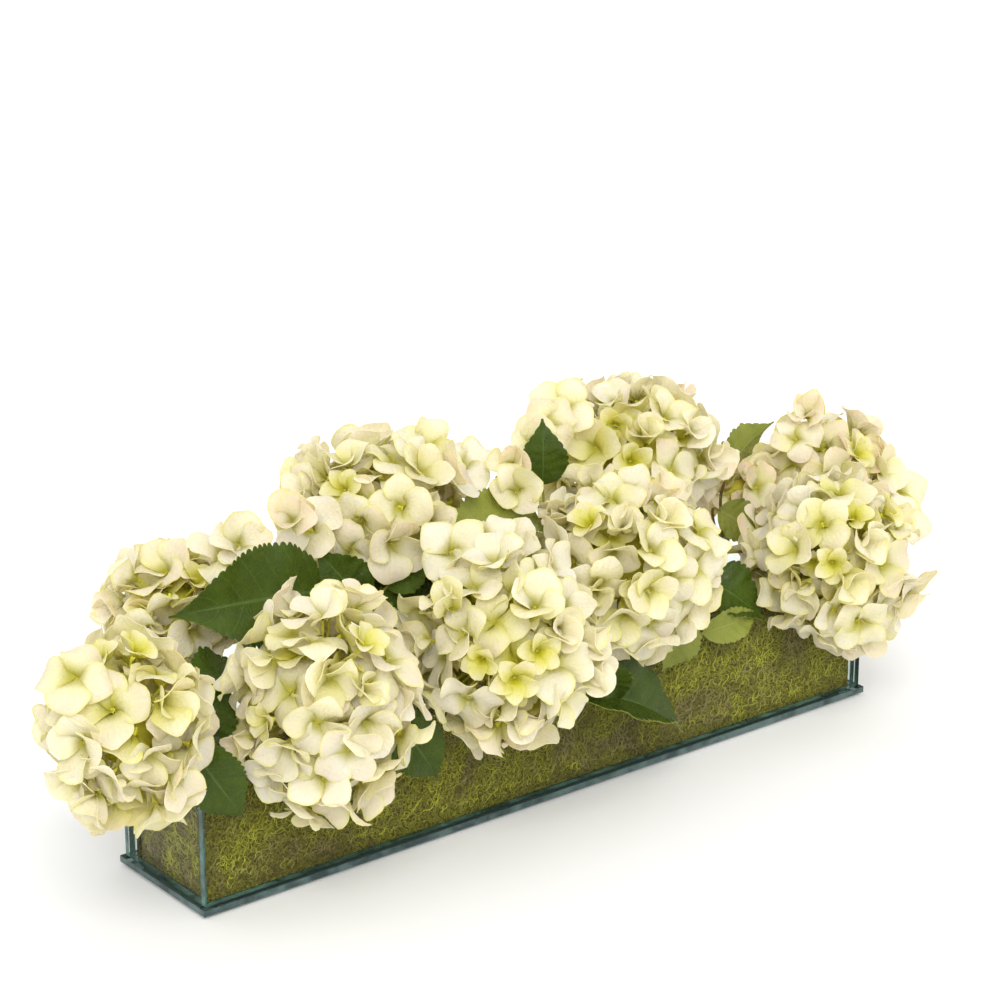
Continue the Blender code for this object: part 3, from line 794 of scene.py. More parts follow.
@dataclass
class MossLining:
    """The moss: a matted sheet on each side and on the foam, with curly threads pressed on its face."""

    finish: MossFinish = MossFinish()
    cell: float = 0.0045
    relief: float = 0.0006
    face_depth: float = 0.0016
    back_depth: float = 0.0030
    thread: float = 0.00034
    steps: int = 9
    step: float = 0.0015
    patterns: int = 28
    band: float = 0.0013
    edge_wave: float = 0.0016
    corner: float = 0.0068
    curls: tuple[float, float] = (0.35, 1.0)
    drifts: tuple[float, float] = (0.5, 1.3)
    slims: tuple[float, float] = (0.75, 1.15)
    lift: float = 0.9
    end_share: float = 0.55
    sizes: tuple[float, float] = (0.7, 1.15)
    reach: float = 0.0075
    loose: float = 0.0020
    ripples: float = 90.0
    edge_ripples: float = 40.0
    meshes: list[bpy.types.Mesh] = field(default_factory=list)

    def build(self) -> None:
        """Make the five moss pieces."""
        rng = random.Random(SEED)
        self.meshes = [self.pattern(rng) for _ in range(self.patterns)]
        materials = [self.finish.sheet(), self.finish.threads()]
        for side in Side:
            self.build_side(side, materials, rng)

    def pattern(self, rng: random.Random) -> bpy.types.Mesh:
        """Make one curly thread lying in the XY plane round the origin.

        Args:
            rng: The source of its random curls.

        Returns:
            The thread's mesh.
        """
        heading = rng.uniform(0, 2 * math.pi)
        curl = rng.choice((-1, 1)) * rng.uniform(*self.curls)
        drift = rng.uniform(*self.drifts)
        place = Vector((0, 0, 0))
        path = [place.copy()]
        for number in range(self.steps):
            heading += curl * math.cos(number * drift + curl * 9)
            lift = self.thread * self.lift * math.sin(number * 1.7 + drift * 5)
            place = place + Vector((math.cos(heading), math.sin(heading), 0)) * self.step
            path.append(Vector((place.x, place.y, lift)))
        middle = sum(path, Vector()) / len(path)
        path = [point - Vector((middle.x, middle.y, 0)) for point in path]
        slim = rng.uniform(*self.slims) * self.thread
        ends = (0, self.steps)
        radii = [slim * (self.end_share if number in ends else 1.0) for number in range(self.steps + 1)]
        bm = new_bmesh("tint")
        sweep(bm, path, radii, 3)
        for face in bm.faces:
            face.material_index = 1
        return make_mesh(bm, "thread_pattern")

    def face(self, side: Side) -> MossFace:
        """Work out a sheet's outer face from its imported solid.

        Args:
            side: Which sheet it is.

        Returns:
            The face.
        """
        name, outward, _ = side.value
        low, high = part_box(name)
        span = high - low
        out = Vector(outward)
        up = Vector((0, 1, 0)) if side is Side.COVER else Vector((0, 0, 1))
        along = up.cross(out)
        half_along = abs(span.dot(along)) / 2 + (self.corner if side in (Side.FRONT, Side.BACK) else 0.0)
        middle = (low + high) / 2 + out * abs(span.dot(out)) / 2
        turn = Matrix((along, up, out)).transposed()
        return MossFace(middle, turn, half_along, abs(span.dot(up)) / 2)

    def build_side(self, side: Side, materials: list[bpy.types.Material], rng: random.Random) -> None:
        """Make one moss piece in place of its plain sheet.

        Args:
            side: Which sheet it is.
            materials: The finishes of the mat and of the threads.
            rng: The source of its random draws.
        """
        name, _, count = side.value
        face = self.face(side)
        bm = new_bmesh("tint")
        columns = round(2 * face.half_along / self.cell)
        rows = round(2 * face.half_up / self.cell)
        bmesh.ops.create_grid(bm, x_segments=columns, y_segments=rows, size=1.0)
        for vertex in bm.verts:
            level = (vertex.co.y + 1) / 2
            flat = Vector((vertex.co.x * face.half_along, vertex.co.y * face.half_up, 0))
            ripple = noise.noise(Vector((flat.x * self.ripples, flat.y * self.ripples, count)))
            if side is not Side.COVER:
                wave = noise.noise(Vector((flat.x * self.edge_ripples, 0, count)))
                flat.y -= level * self.edge_wave * (1 + wave)
            flat.z = -self.face_depth + self.relief * ripple
            vertex.co = face.middle + face.turn @ flat
        bmesh.ops.solidify(bm, geom=bm.faces[:], thickness=self.back_depth)
        for _ in range(count):
            self.lay_thread(bm, face, rng, self.loose if side is Side.COVER else 0.0)
        finish_piece(bm, name + "_threads", materials, name)

    def lay_thread(self, bm: bmesh.types.BMesh, face: MossFace, rng: random.Random, loose: float) -> None:
        """Lay one thread flat on a sheet's face.

        Args:
            bm: Where the thread is added.
            face: The face that it lies on.
            rng: The source of its random place.
            loose: How far it may stand up from the others.
        """
        pattern = rng.choice(self.meshes)
        size = rng.uniform(*self.sizes)
        margin = self.reach * size
        across = rng.uniform(margin - face.half_along, face.half_along - margin)
        level = rng.uniform(margin - face.half_up, face.half_up - margin * 0.9)
        depth = -self.thread * 1.5 - rng.random() * self.band
        if loose:
            depth += rng.random() * loose
        spin = Matrix.Rotation(rng.uniform(0, 2 * math.pi), 3, "Z")
        place = face.middle + face.turn @ Vector((across, level, depth))
        matrix = Matrix.LocRotScale(place, (face.turn @ spin).to_quaternion(), Vector((size, size, 1)))
        tint = np.empty((len(pattern.vertices), 4))
        tint[:] = (rng.random(), rng.random(), 0, 1)
        add_copy(bm, pattern, matrix, tint)


@dataclass(frozen=True)
class Leaf:
    """A leaf: its blade's two ends, the way it faces, its width, if it is pale, and how far it folds."""

    base: tuple[float, float, float]
    tip: tuple[float, float, float]
    upward: tuple[float, float, float]
    width: float
    pale: bool = False
    fold: float = 0.30


@dataclass(frozen=True)
class HeadPlan:
    """A flower head: its middle, half sizes, stem hole, blush and leaves, and how its florets differ.

    The shift and swell move and size the florets against the solid, and each stray is the throat of a
    floret that stands out of the head's outline.
    """

    centre: tuple[float, float, float]
    across: float
    up: float
    hole: tuple[float, float]
    blush: float
    leaves: tuple[Leaf, ...] = ()
    shift: tuple[float, float, float] = (0.0, 0.0, 0.0)
    swell: tuple[float, float] = (1.0, 1.0)
    strays: tuple[tuple[float, float, float], ...] = ()

    def flowered(self) -> "HeadPlan":
        """Return the plan of the florets, which stand a little off the solid's middle.

        Returns:
            The shifted and swelled plan.
        """
        centre = tuple(a + b for a, b in zip(self.centre, self.shift))
        wide, high = self.swell
        return replace(self, centre=centre, across=self.across * wide, up=self.up * high)


PLANS = (
    HeadPlan(
        (-0.364, -0.046, 0.151), 0.062, 0.075, (-0.276, -0.012), 0.15,
        (
            Leaf((-0.314, -0.056, 0.131), (-0.281, -0.068, 0.073), (-0.5, -0.8, 0.3), 0.042),
            Leaf((-0.330, 0.014, 0.118), (-0.352, 0.072, 0.100), (-0.1, 0.3, 1), 0.050),
            Leaf((-0.296, -0.030, 0.122), (-0.262, -0.028, 0.150), (-0.4, -0.8, 0.4), 0.040),
        ),
        shift=(0.008, -0.005, 0.002), swell=(0.94, 0.96), strays=((-0.396, -0.054, 0.196),),
    ),
    HeadPlan(
        (-0.252, 0.062, 0.181), 0.053, 0.050, (-0.236, 0.022), 0.30,
        (Leaf((-0.215, 0.050, 0.128), (-0.182, 0.090, 0.088), (0.1, 0.8, 0.5), 0.052),),
        shift=(0.001, -0.001, -0.009), strays=((-0.213, 0.040, 0.216), (-0.222, 0.036, 0.208)),
    ),
    HeadPlan(
        (-0.222, -0.074, 0.141), 0.068, 0.086, (-0.200, -0.022), 0.15,
        (
            Leaf((-0.166, 0.004, 0.183), (-0.286, 0.004, 0.194), (-0.15, -0.88, 0.45), 0.074),
            Leaf((-0.156, -0.060, 0.112), (-0.121, -0.068, 0.055), (-0.3, -0.9, 0.2), 0.042),
            Leaf((-0.232, 0.002, 0.138), (-0.292, -0.012, 0.150), (-0.3, -0.4, 0.9), 0.044),
            Leaf((-0.127, 0.002, 0.130), (-0.074, 0.004, 0.168), (-0.4, -0.8, 0.4), 0.052),
        ),
    ),
    HeadPlan(
        (-0.083, 0.055, 0.220), 0.079, 0.057, (-0.100, 0.018), 0.25,
        (
            Leaf((-0.130, 0.008, 0.165), (-0.158, 0.022, 0.206), (-0.5, -0.7, 0.5), 0.040),
            Leaf((-0.112, 0.004, 0.172), (-0.078, -0.006, 0.196), (-0.4, -0.6, 0.7), 0.036),
            Leaf((-0.060, 0.052, 0.140), (-0.012, 0.098, 0.118), (0.2, 0.5, 0.9), 0.056),
            Leaf((-0.052, 0.028, 0.130), (-0.128, 0.034, 0.186), (-0.5, -0.7, 0.4), 0.062),
        ),
        shift=(0.001, 0.0, -0.010), swell=(0.95, 0.94),
        strays=(
            (-0.169, 0.034, 0.224), (-0.150, 0.036, 0.216), (-0.015, 0.036, 0.231),
            (-0.048, 0.048, 0.248),
        ),
    ),
    HeadPlan(
        (-0.074, -0.076, 0.142), 0.074, 0.076, (-0.056, -0.022), 0.10,
        (
            Leaf((-0.018, -0.066, 0.093), (0.108, -0.068, 0.031), (-0.2, -0.55, 0.82), 0.058, False, 0.70),
            Leaf((-0.134, -0.030, 0.160), (-0.156, -0.020, 0.178), (-0.4, -0.6, 0.7), 0.030),
        ),
        shift=(0.0, 0.0, 0.004),
        strays=((-0.088, -0.040, 0.206), (-0.059, -0.040, 0.206), (-0.036, -0.045, 0.197)),
    ),
    HeadPlan(
        (0.046, -0.060, 0.170), 0.076, 0.073, (0.044, -0.020), 0.15,
        (
            Leaf((0.022, -0.076, 0.108), (0.036, -0.074, 0.072), (-0.4, -0.9, 0.1), 0.026),
            Leaf((0.018, -0.004, 0.196), (-0.074, 0.002, 0.200), (-0.2, -0.5, 0.85), 0.050, True),
            Leaf((0.034, 0.012, 0.214), (0.037, 0.016, 0.262), (-0.5, -0.8, 0.3), 0.036),
            Leaf((0.112, -0.056, 0.116), (0.086, -0.064, 0.080), (-0.2, -0.9, 0.3), 0.036, True),
        ),
    ),
    HeadPlan(
        (0.143, 0.058, 0.202), 0.082, 0.056, (0.132, 0.020), 0.25,
        (Leaf((0.140, 0.050, 0.128), (0.172, 0.098, 0.098), (0.2, 0.7, 0.7), 0.056),),
        shift=(0.006, -0.003, 0.0), swell=(1.02, 1.0),
        strays=(
            (0.014, 0.020, 0.230), (0.003, 0.004, 0.218), (0.040, 0.030, 0.236),
            (0.062, 0.044, 0.248), (0.084, 0.048, 0.252),
        ),
    ),
    HeadPlan(
        (0.256, -0.062, 0.132), 0.074, 0.074, (0.238, -0.020), 0.25,
        (
            Leaf((0.150, -0.034, 0.128), (0.186, -0.064, 0.096), (-0.2, -0.6, 0.8), 0.046),
            Leaf((0.129, -0.058, 0.097), (0.184, -0.06, 0.102), (-0.3, -0.8, 0.2), 0.026, True),
        ),
        shift=(-0.004, 0.0, -0.005), strays=((0.277, -0.080, 0.068),),
    ),
    HeadPlan(
        (0.360, 0.046, 0.155), 0.062, 0.058, (0.278, 0.014), 0.50,
        shift=(-0.008, -0.004, -0.013), swell=(1.0, 0.95),
        strays=(
            (0.328, 0.046, 0.201), (0.306, 0.038, 0.185), (0.392, 0.004, 0.132),
            (0.370, -0.016, 0.118),
        ),
    ),
    HeadPlan(
        (0.264, 0.052, 0.148), 0.031, 0.029, (0.206, 0.020), 0.85,
        (
            Leaf((0.232, 0.030, 0.172), (0.278, 0.032, 0.208), (0.3, 0.8, 0.5), 0.044),
            Leaf((0.215, 0.022, 0.152), (0.246, 0.004, 0.126), (-0.3, -0.8, 0.4), 0.034, True),
            Leaf((0.240, 0.048, 0.112), (0.282, 0.088, 0.082), (0.1, 0.8, 0.6), 0.050),
        ),
    ),
)


@dataclass
class LeafyStem:
    """A taped wire stem from its head's neck into the foam, with toothed leaves on short stalks."""

    number: int
    plan: HeadPlan
    wire: float = 0.0024
    sides: int = 8
    knots: int = 4
    smoothing: int = 4
    neck: float = 0.006
    core_share: float = 0.50
    core_over_rim: float = 0.004
    bend: float = 0.018
    straight: float = 0.004
    gap: float = 0.0003
    first_leaf: float = 2.2
    leaf_step: float = 0.7
    stalk: float = 0.0012
    stalk_sides: int = 6
    stalk_reach: float = 0.35
    stalk_steps: int = 10
    stalk_in_leaf: float = 0.003
    stalk_flare: float = 1.15
    stalk_taper: float = 0.03
    rib_share: float = 0.7
    thickness: float = 0.0005
    columns: int = 8
    tooth: float = 0.0046
    tooth_rows: int = 4
    tooth_depth: float = 0.080
    tooth_lean: float = 0.35
    widest: float = 0.72
    fullness: float = 0.70
    pointed: float = 0.75
    arch: float = 0.10
    droop: float = 0.04
    wave: float = 0.12
    wave_turn: float = 9.0
    puff: float = 0.0010
    tooth_round: float = 0.7
    fold_round: float = 1.15
    frill: float = 0.05
    frill_turn: float = 31.0
    tip_end: float = 0.9995

    def route(self) -> list[Vector]:
        """Work out the stem's route, which is its solid's.

        Returns:
            The points on its middle line, from the head down.
        """
        plan = self.plan
        centre = Vector(plan.centre)
        wide = plan.across * self.core_share
        deep = min(plan.up * self.core_share, centre.z - BOX.rim - self.core_over_rim)
        down = (Vector((*plan.hole, BOX.cover_top + self.bend)) - centre).normalized()
        reach = 1 / shares(down, wide, deep).length
        cut = centre + down * (reach + self.neck + self.gap)
        start = cut + down * self.wire
        end = Vector((*plan.hole, BOX.cover_top + self.straight))
        pull = (end - start).length
        route = [cut]
        for step in range(self.knots + 1):
            t = step / self.knots
            route.append(
                start * (2 * t**3 - 3 * t**2 + 1)
                + down * pull * (t**3 - 2 * t**2 + t)
                + end * (3 * t**2 - 2 * t**3)
                + Vector((0, 0, -pull)) * (t**3 - t**2)
            )
        return route + [Vector((*plan.hole, BOX.stem_foot))]

    def build(self, materials: list[bpy.types.Material]) -> list[BVHTree]:
        """Make the stem with its leaves.

        Args:
            materials: The finishes of the stem, and of a leaf's upper side and underside.

        Returns:
            A search tree of each blade, for the petals to keep clear of.
        """
        route = self.route()
        path = smooth_path(route, self.smoothing)
        bm = new_bmesh("blade")
        sweep(bm, path, [self.wire] * len(path), self.sides)
        trees = []
        for number, leaf in enumerate(self.plan.leaves):
            knot, share = divmod(self.first_leaf + number * self.leaf_step, 1)
            foot = route[int(knot)].lerp(route[int(knot) + 1], share)
            self.add_stalk(bm, foot, leaf)
            trees.append(self.add_blade(bm, leaf, number))
        name = f"{self.number:02d}"
        finish_piece(bm, "leafy_stem_" + name, materials, "stem_" + name)
        return trees

    def add_stalk(self, bm: bmesh.types.BMesh, foot: Vector, leaf: Leaf) -> None:
        """Add the short stalk that carries a leaf.

        Args:
            bm: Where the stalk is added.
            foot: Where it leaves the stem.
            leaf: The leaf that it carries.
        """
        base = Vector(leaf.base)
        along = (Vector(leaf.tip) - base).normalized()
        reach = (base - foot).length * self.stalk_reach
        first = foot + Vector((0, 0, reach))
        second = base - along * reach
        path = []
        for step in range(self.stalk_steps + 1):
            t = step / self.stalk_steps
            rest = 1 - t
            path.append(foot * rest**3 + first * 3 * t * rest**2 + second * 3 * t**2 * rest + base * t**3)
        path.append(base + along * self.stalk_in_leaf)
        taper = [self.stalk_flare - self.stalk_taper * number for number in range(len(path))]
        sweep(bm, path, [self.stalk * share for share in taper], self.stalk_sides)

    def add_blade(self, bm: bmesh.types.BMesh, leaf: Leaf, number: int) -> BVHTree:
        """Add a leaf's blade: toothed, folded along its rib, arched, and puffed between its veins.

        Args:
            bm: Where the blade is added.
            leaf: The leaf's place and size.
            number: The leaf's number on its stem, which varies its wave.

        Returns:
            A search tree of the blade's sheet.
        """
        layer = bm.verts.layers.float_color["blade"]
        base = Vector(leaf.base)
        blade = Vector(leaf.tip) - base
        length = blade.length
        along = blade.normalized()
        facing = Vector(leaf.upward)
        facing = (facing - facing.dot(along) * along).normalized()
        across = along.cross(facing)
        rows = self.tooth_rows * max(5, round(length / self.tooth))
        finish = LeafFinish()
        made = bmesh.ops.create_grid(bm, x_segments=self.columns, y_segments=rows, size=1.0)["verts"]
        for vertex in made:
            side = vertex.co.x
            row = round((vertex.co.y + 1) / 2 * rows)
            share = row / rows
            fullness = self.fullness + self.pointed * share * share
            turn = math.pi * min(share, self.tip_end) ** self.widest
            outline = math.sin(turn) ** fullness if row else 0.0
            scallop = abs(math.sin(math.pi * row / self.tooth_rows)) ** self.tooth_round
            toothed = 1 - self.tooth_depth * (1 - scallop) * abs(side) ** 3
            half = max(self.stalk * self.rib_share, leaf.width / 2 * outline * toothed)
            lean = self.tooth_lean / rows * scallop * abs(side) ** 3
            arch = length * (self.arch * math.sin(math.pi * share) - self.droop * share)
            ripple = self.wave * math.sin(share * self.wave_turn + side + number)
            fold = abs(side) ** self.fold_round * half * (leaf.fold + ripple)
            branch = (share - abs(side) * finish.sweep) * finish.veins
            puffed = self.puff * abs(math.sin(math.pi * branch)) * min(1.0, 3 * abs(side)) * outline
            frilled = math.sin(share * self.frill_turn + 2 * number)
            edge = self.frill * half * frilled * abs(side) ** 3
            rib = base + along * length * (share + lean)
            vertex.co = rib + across * side * half + facing * (arch + fold + puffed + edge)
            vertex[layer] = ((side + 1) / 2, share, 0, 1)
        faces = list(dict.fromkeys(face for vertex in made for face in vertex.link_faces))
        faces = bmesh.ops.triangulate(bm, faces=faces, quad_method="BEAUTY")["faces"]
        for face in faces:
            face.material_index = 2 if leaf.pale else 1
        tree = sheet_tree(made, faces)
        known = set(bm.faces)
        bmesh.ops.solidify(bm, geom=faces, thickness=self.thickness)
        for face in bm.faces:
            if face not in known:
                face.material_index = 1 if leaf.pale else 2
        return tree


def sheet_tree(vertices: list[bmesh.types.BMVert], faces: list[bmesh.types.BMFace]) -> BVHTree:
    """Make a search tree of some faces, from their own corners.

    Args:
        vertices: The faces' vertices.
        faces: The faces.

    Returns:
        The tree.
    """
    order = {vertex: number for number, vertex in enumerate(vertices)}
    corners = [[order[vertex] for vertex in face.verts] for face in faces]
    return BVHTree.FromPolygons([vertex.co.copy() for vertex in vertices], corners)


@dataclass(frozen=True)
class PetalShape:
    """One petal: sizes in metres and slopes in degrees, with its curls as shares of its half width."""

    length: float
    width: float
    rise: float
    end: float
    cup: float
    ruffle: float
    point: float
    phase: float
    claw: float = 0.55
    claw_end: float = 0.55
    tip_width: float = 0.25
    tip_from: float = 0.7
    start: float = 0.0007

    def add(
        self, bm: bmesh.types.BMesh, number: int, turn: float, tilt: float, cells: tuple[int, int]
    ) -> None:
        """Add the petal's sheet to a floret.

        Args:
            bm: The floret.
            number: The petal's number, kept in its vertices.
            turn: Where round the floret it stands, in radians.
            tilt: How far it is turned about its own length, in radians.
            cells: How many faces it has across and along.
        """
        layer = bm.verts.layers.float_color["petal"]
        made = bmesh.ops.create_grid(bm, x_segments=cells[0], y_segments=cells[1], size=1.0)["verts"]
        first = math.radians(self.rise)
        change = math.radians(self.end - self.rise) or 0.001
        for vertex in made:
            x, y = vertex.co.x, vertex.co.y
            p = x * math.sqrt(1 - y * y / 2)
            q = y * math.sqrt(1 - x * x / 2)
            along = (q + 1) / 2
            vertex[layer] = ((p + 1) / 2, along, 0, number / MARKS)
            radius = math.hypot(p, q)
            tip = self.point * math.exp(-((p / self.tip_width) ** 2)) * smooth(along, self.tip_from, 1.0)
            slope = first + change * along
            bent = self.length / change
            reach = bent * (math.sin(slope) - math.sin(first)) + tip * self.length * math.cos(slope)
            lift = bent * (math.cos(first) - math.cos(slope)) + tip * self.length * math.sin(slope)
            wide = p * (self.claw + (1 - self.claw) * smooth(along, 0.0, self.claw_end))
            curl = self.cup * wide * wide
            curl += self.ruffle * radius**3 * math.sin(3 * math.atan2(p, q) + self.phase)
            off = curl * self.width / 2
            vertex.co = (
                self.start + reach - math.sin(slope) * off,
                wide * self.width / 2,
                lift + math.cos(slope) * off,
            )
        stand = Matrix.Rotation(turn, 4, "Z") @ Matrix.Rotation(tilt, 4, "X")
        bmesh.ops.transform(bm, matrix=stand, verts=made)


class FloretKind(Enum):
    """Floret forms: petal length, rise and end slopes, cup, ruffle, petals, and how often each is drawn."""

    OPEN = (0.0270, 28, 2, 0.14, 0.14, 4, 4)
    WAVY = (0.0275, 38, -20, 0.04, 0.26, 4, 5)
    CUPPED = (0.0265, 54, 20, 0.26, 0.14, 4, 3)
    CURLED = (0.0265, 44, -52, -0.14, 0.20, 4, 2)
    CLOSING = (0.0255, 74, 46, 0.34, 0.16, 4, 1)
    YOUNG = (0.0195, 62, 8, 0.36, 0.08, 5, 0)


@dataclass(frozen=True)
class FloretPattern:
    """A floret that is copied: its mesh, its bare sheet for fitting, and the petal each vertex is on."""

    kind: FloretKind
    mesh: bpy.types.Mesh
    points: np.ndarray
    corners: list[list[int]]
    petals: np.ndarray


@dataclass(frozen=True)
class Floret:
    """A floret in its place: its throat, the way it opens, its pattern, its placing and its search tree."""

    place: Vector
    axis: Vector
    pattern: FloretPattern
    stand: Matrix
    tree: BVHTree


Stock = dict[FloretKind, list[FloretPattern]]


@dataclass
class FloretStock:
    """The stock of floret patterns that the heads are made of."""

    each: int = 5
    thickness: float = 0.00035
    bead: float = 0.0014
    bead_height: float = 0.8
    pinwheel: float = 0.16
    lengths: tuple[float, float] = (0.88, 1.06)
    widths: tuple[float, float] = (0.90, 1.15)
    slim: float = 0.8
    rise_spread: float = 9.0
    end_spread: float = 20.0
    cups: tuple[float, float] = (0.3, 1.5)
    ruffles: tuple[float, float] = (0.5, 1.4)
    points: tuple[float, ...] = (0.0, 0.10, 0.08, -0.07, 0.05, -0.04)
    turn_spread: float = 0.09
    tilt_spread: float = 0.08

    def build(self, cells: tuple[int, int]) -> Stock:
        """Make the patterns of every kind, whose petals have so many faces across and along."""
        rng = random.Random(SEED + cells[0])
        return {kind: [self.pattern(kind, rng, cells) for _ in range(self.each)] for kind in FloretKind}

    def pattern(self, kind: FloretKind, rng: random.Random, cells: tuple[int, int]) -> FloretPattern:
        """Make one floret with its throat at the origin, opening along +Z.

        Args:
            kind: The floret's form.
            rng: The source of its random shape.
            cells: How many faces a petal has across and along.

        Returns:
            The pattern.
        """
        length, rise, end, cup, ruffle, count, _ = kind.value
        bm = new_bmesh("petal", "tint")
        for number in range(count):
            size = rng.uniform(*self.lengths)
            shape = PetalShape(
                length=length * size,
                width=length * size * rng.uniform(*self.widths) * (self.slim if count > 4 else 1.0),
                rise=rise + rng.uniform(-self.rise_spread, self.rise_spread),
                end=end + rng.uniform(-self.end_spread, self.end_spread),
                cup=cup * rng.uniform(*self.cups),
                ruffle=ruffle * rng.uniform(*self.ruffles),
                point=rng.choice(self.points),
                phase=rng.uniform(0, 2 * math.pi),
            )
            turn = (number + rng.uniform(-self.turn_spread, self.turn_spread)) * 2 * math.pi / count
            tilt = self.pinwheel + rng.uniform(-self.tilt_spread, self.tilt_spread)
            shape.add(bm, number, turn, tilt, cells)
        bm.verts.ensure_lookup_table()
        points = np.array([vertex.co for vertex in bm.verts])
        bm.verts.index_update()
        corners = [[vertex.index for vertex in face.verts] for face in bm.faces]
        bmesh.ops.triangulate(bm, faces=bm.faces[:], quad_method="BEAUTY")
        bmesh.ops.solidify(bm, geom=bm.faces[:], thickness=self.thickness)
        self.add_bead(bm)
        mesh = make_mesh(bm, "floret_pattern")
        place = np.empty(len(mesh.vertices) * 4, np.float32)
        mesh.attributes["petal"].data.foreach_get("color", place)
        petals = np.rint(place.reshape(-1, 4)[:, 3] * MARKS).astype(int)
        return FloretPattern(kind, mesh, points, corners, petals)

    def add_bead(self, bm: bmesh.types.BMesh) -> None:
        """Add the small bead in the throat, flattened a little.

        Args:
            bm: The floret.
        """
        layer = bm.verts.layers.float_color["petal"]
        stand = Matrix.LocRotScale(Vector((0, 0, self.bead)), None, Vector((1, 1, self.bead_height)))
        made = bmesh.ops.create_icosphere(bm, subdivisions=1, radius=self.bead, matrix=stand)
        for vertex in made["verts"]:
            vertex[layer] = (0.5, 0.5, 1, (MARKS - 1) / MARKS)


@dataclass
class Bouquet:
    """What the florets keep clear of: the glass, the leaves, the other heads, and each other."""

    heads: tuple[HeadPlan, ...]
    leaves: list[BVHTree]
    glass: BVHTree
    placed: list[Floret] = field(default_factory=list)
    near: float = 0.058
    clear_place: Vector = field(default_factory=lambda: Vector((-0.012, -0.100, 0.084)))
    clear_radius: float = 0.027
    glass_weight: int = 40
    leaf_weight: int = 3
    inside: float = 0.80

    def crossings(self, floret: Floret, limit: float) -> float:
        """Count what a floret crosses.

        Args:
            floret: The floret.
            limit: The count past which the rest isn't worth counting.

        Returns:
            The weighted count of crossing faces.
        """
        count = len(floret.tree.overlap(self.glass)) * self.glass_weight
        for leaf in self.leaves:
            count += len(floret.tree.overlap(leaf)) * self.leaf_weight
            if count > limit:
                return count
        for other in self.placed:
            if (other.place - floret.place).length < self.near:
                count += len(floret.tree.overlap(other.tree))
                if count > limit:
                    return count
        return count

    def taken(self, plan: HeadPlan, place: Vector) -> bool:
        """Tell whether a place isn't this head's to fill.

        Args:
            plan: The head that would fill it.
            place: A floret's throat.

        Returns:
            True in front of the leaf on the glass, and well inside another head.
        """
        if (place - self.clear_place).length < self.clear_radius:
            return True
        for other in self.heads:
            if other is not plan:
                off = shares(place - Vector(other.centre), other.across, other.up)
                if off.length < self.inside:
                    return True
        return False


@dataclass(frozen=True)
class Layer:
    """A layer of florets: its share of the outer one's count, its depth, and its florets' size and stock.

    The depth is how far under the head's outline the throats lie, and the stock is what the florets are
    copied from.
    """

    share: float
    depth: float
    size: float
    stock: Stock


